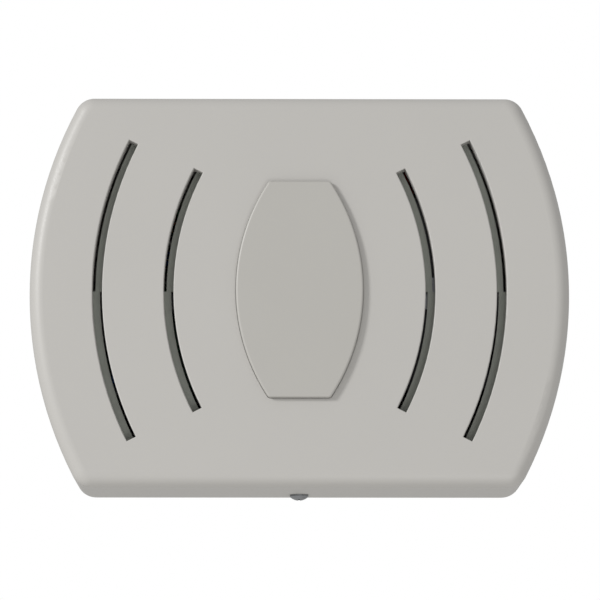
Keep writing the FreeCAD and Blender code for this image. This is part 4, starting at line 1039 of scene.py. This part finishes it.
            def place(across: float, along: float, height: float) -> Point:
                """A point of the dome, with height above the board."""
                return mm(x + across, self.face + height, z + along)

            shape = [(1.5 * size, -self.sunk), (1.45 * size, 0.05), (size, 0.2), (0.65 * size, 0.5),
                     (0.45 * size, 0.8), (POLE_R / 2, 0.9), (POLE_R / 2, -self.sunk)]
            domes.lathe(shape, place, 20)
        domes.piece("board_solder", Finishes.SOLDER, "base", "tinned_metal")


def offset_line(
    points: Sequence[Flat], shift: float
) -> list[Flat]:
    """Moves a line of points sideways, with its corners kept square to the bend.

    Args:
        points: the line's corners.
        shift: how far to move it, to the left of its direction.

    Returns:
        The moved corners.
    """
    line = [Vector(p) for p in points]
    moved = []
    for index, point in enumerate(line):
        sides = []
        if index > 0:
            sides.append((point - line[index - 1]).normalized())
        if index < len(line) - 1:
            sides.append((line[index + 1] - point).normalized())
        normals = [Vector((-s.y, s.x)) for s in sides]
        mean = sum(normals, Vector((0.0, 0.0))).normalized()
        stretch = 1.0 / max(0.5, mean.dot(normals[0]))
        spot = point + mean * shift * stretch
        moved.append((spot.x, spot.y))
    return moved


@dataclass
class Loudspeaker:
    """The loudspeaker, with a pressed cone and a paper gasket ring."""

    centre_z: float = 20.0
    cone_rim_out: float = 42.4
    neck_out: float = 28.0
    rim_r: float = 29.9
    neck_r: float = 10.6
    gasket_inner: float = 34.95
    gasket_outer: float = 38.2
    gasket_half_arc: float = 31.0
    ribs: int = 7
    rib_height: float = 0.16
    paper: float = 0.30
    choice: dict[Finishes, str] = field(
        default_factory=lambda: {
            Finishes.ZINC: "speaker_posts speaker_screws",
            Finishes.LACQUER: "speaker_frame",
            Finishes.FERRITE: "speaker_magnet",
            Finishes.SURROUND: "speaker_surround",
            Finishes.CAP_CLOTH: "speaker_cap",
            Finishes.PAPER: "speaker_cone",
            Finishes.BLACK_PVC: "speaker_leads",
        }
    )

    def build(self, nodes: Mapping[str, Thing]) -> None:
        """Dresses the loudspeaker, presses ribs into its cone and adds the gasket.

        Args:
            nodes: the frame's nodes by name.
        """
        dress_nodes(nodes, self.choice)
        self.cone()
        self.gasket()

    def place(self, across: float, along: float, height: float) -> Point:
        """A point round the loudspeaker's axis; height is its distance from the wall."""
        return mm(across, height, self.centre_z + along)

    def cone(self) -> None:
        """The pressed paper cone: a flared profile with rings, and fine felted creases."""
        front = []
        rows = 44
        for row in range(rows + 1):
            share = row / rows
            radius = self.neck_r + (self.rim_r - self.neck_r) * share
            out = self.neck_out + 0.8 + (self.cone_rim_out - self.neck_out - 0.8) * share ** 0.85
            ribbed = 0.15 < share < 0.9
            rib = self.rib_height * math.cos(math.tau * share * self.ribs) if ribbed else 0.0
            front.append((radius, out - 0.25 + rib))
        back = [(radius, out - 0.25 - self.paper) for radius, out in reversed(front)]
        skirt = [(self.neck_r, 22.3), (self.neck_r + 0.3, 22.3)]
        profile = front + back[:-1] + [(self.neck_r + 0.35, back[-1][1]), skirt[1], skirt[0]]
        parts = MeshParts()
        parts.lathe(profile, self.place, 144, self.crease)
        cone = parts.piece("speaker_cone_pressed", Finishes.PAPER, "base", "cone_paper", 60.0)
        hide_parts("speaker_cone")

    def crease(self, angle: float, radius: float) -> float:
        """The height of the cone's uneven felting.

        Args:
            angle: how far round the cone, in radians.
            radius: how far from its axis, in mm.

        Returns:
            The height in mm.
        """
        if radius < self.neck_r + 2 or radius > self.rim_r - 1.5:
            return 0.0
        return 0.05 * math.sin(18 * angle) + 0.035 * math.sin(31 * angle + radius)

    def gasket(self) -> None:
        """Four arcs of pressed board glued round the basket's rim, with gaps at the screws."""
        parts = MeshParts()
        inner, outer = self.gasket_inner, self.gasket_outer
        section = ((inner + 0.2, 43.45), (inner, 44.0), (inner + 0.3, 44.3), (outer - 0.3, 44.3),
                   (outer, 44.0), (outer, 43.45))
        steps, sides = 28, len(section)
        for quarter in range(4):
            verts, faces = [], []
            for step in range(steps + 1):
                share = 2 * step / steps - 1
                angle = math.radians(90 * quarter + self.gasket_half_arc * share)
                for radius, out in section:
                    verts.append(self.place(radius * math.cos(angle), radius * math.sin(angle), out))
                if step:
                    faces += band(step - 1, step, sides)
            faces.append(tuple(range(sides)))
            faces.append(tuple(steps * sides + side for side in range(sides)))
            parts.add(verts, faces)
        parts.piece("speaker_gasket", Finishes.GASKET, "base", "cone_paper")


@dataclass
class PowerAndSwitch:
    """The battery with its strap and leads, and the tamper switch."""

    vents_out: float = 38.0
    vent_shifts: Point = (-14.0, 0.0, 14.0)
    choice: dict[Finishes, str] = field(
        default_factory=lambda: {
            Finishes.BATTERY: "battery_case",
            Finishes.TIN: "battery_tabs switch_tags",
            Finishes.ZINC: "battery_strap strap_screws",
            Finishes.RED_PVC: "sleeve_red battery_lead_red",
            Finishes.BLACK_PVC: "sleeve_black battery_lead_black",
            Finishes.EPOXY: "switch_body",
            Finishes.BUTTON: "tamper_button",
            Finishes.SPRING: "tamper_lever",
        }
    )

    def build(self, nodes: Mapping[str, Thing]) -> None:
        """Dresses the battery and switch, and adds the battery's vent caps."""
        dress_nodes(nodes, self.choice)
        self.vents()

    def vents(self) -> None:
        """Three shallow round plugs over the cells, on the battery's lid."""
        low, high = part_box("battery_case")
        middle_x, top_z = (low.x + high.x) / 2 / MM, high.z / MM
        parts = MeshParts()
        for shift in self.vent_shifts:

            def place(across: float, along: float, height: float) -> Point:
                """A point of the plug, with height above the battery's lid."""
                return mm(middle_x + shift + across, self.vents_out + along, top_z + height)

            plug = [(POLE_R / 2, -0.05), (3.6, -0.05), (3.6, 0.35), (3.3, 0.6), (2.4, 0.6),
                    (2.2, 0.35), (POLE_R / 2, 0.35)]
            parts.lathe(plug, place, 36)
        parts.piece("battery_vents", Finishes.BATTERY, "base", "battery_plastic")


# ---------------------------------------------------------------- studio


@dataclass
class Lamp:
    """One soft area light: its name, place, power in watts, side in metres and colour."""

    name: str
    place: Point
    watts: float
    side: float
    colour: str = "#FFFFFF"

    def build(self, target: Vector) -> None:
        """Hangs the light and turns it to the target.

        Args:
            target: the point it shines on.
        """
        data = bpy.data.lights.new(self.name, "AREA")
        data.energy = self.watts
        data.size = self.side
        data.color = linear(self.colour)[:3]
        lamp = bpy.data.objects.new(self.name, data)
        lamp.location = self.place
        aim = target - Vector(self.place)
        lamp.rotation_euler = aim.to_track_quat("-Z", "Y").to_euler()
        bpy.context.scene.collection.objects.link(lamp)


@dataclass
class Studio:
    """A plain pale floor, soft light from the upper left and a long lens a little below."""

    distance: float = 1.66
    elevation: float = -9.1
    azimuth: float = -0.4
    lens: float = 199.9
    aim: Point = (0.0002, -0.060, -0.0053)
    floor_drop: float = 1.6
    floor_half: float = 6.0
    room_light: float = 0.56
    lamps: tuple[Lamp, ...] = (
        Lamp("key", (-2.65, -2.05, 1.25), 80.0, 0.7),
        Lamp("bounce", (0.5, -1.7, -1.0), 7.0, 0.9),
    )

    def build(self) -> None:
        """Makes the room, lights, floor and camera."""
        self.world()
        for lamp in self.lamps:
            lamp.build(Vector((0.0, 0.0, 0.0)))
        self.floor()
        self.camera()
        bpy.context.scene.view_settings.view_transform = "Standard"

    def world(self) -> None:
        """A white backdrop that gives an even, weaker room light."""
        world = bpy.data.worlds.new("studio")
        world.use_nodes = True
        tree = world.node_tree
        tree.nodes.clear()
        path = add_node(tree, "ShaderNodeLightPath")
        shaders = {0: path.outputs["Is Camera Ray"]}
        for number, strength in ((1, self.room_light), (2, 1.0)):
            values = {"Color": grey(1.0), "Strength": strength}
            shaders[number] = add_node(tree, "ShaderNodeBackground", inputs=values).outputs[0]
        mix = add_node(tree, "ShaderNodeMixShader", inputs=shaders)
        add_node(tree, "ShaderNodeOutputWorld", inputs={"Surface": mix.outputs[0]})
        bpy.context.scene.world = world

    def floor(self) -> None:
        """A wide pale floor below the unit."""
        mesh = bpy.data.meshes.new("floor")
        half, low = self.floor_half, -self.floor_drop
        corners = [(-half, -half, low), (half, -half, low), (half, half, low), (-half, half, low)]
        mesh.from_pydata(corners, [], [(0, 1, 2, 3)])
        paint = Finish("pale_floor_paint", "#EDECEA", 0.7, drift=0.002, grain_mm=3.0)
        mesh.materials.append(paint.build())
        floor = bpy.data.objects.new("floor", mesh)
        bpy.context.scene.collection.objects.link(floor)

    def camera(self) -> None:
        """The camera, below the middle and looking slightly up."""
        tilt, turn = math.radians(self.elevation), math.radians(self.azimuth)
        level = math.cos(tilt)
        back = Vector((math.sin(turn) * level, -math.cos(turn) * level, math.sin(tilt)))
        data = bpy.data.cameras.new("camera")
        data.lens = self.lens
        data.sensor_width = 36.0
        data.clip_start = 0.05
        camera = bpy.data.objects.new("camera", data)
        target = Vector(self.aim)
        camera.location = target + back * self.distance
        camera.rotation_euler = (-back).to_track_quat("-Z", "Y").to_euler()
        bpy.context.scene.collection.objects.link(camera)
        bpy.context.scene.camera = camera


# ---------------------------------------------------------------- the whole scene


def main() -> None:
    logging.basicConfig(level=logging.INFO, format="%(message)s")
    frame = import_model()
    nodes = frame["nodes"]
    Studio().build()
    for assembly in (Housing(), CoverScrew(), Board(), Loudspeaker(), PowerAndSwitch()):
        assembly.build(nodes)
        LOG.info("dressed %s", type(assembly).__name__)


if __name__ == "__main__":
    main()
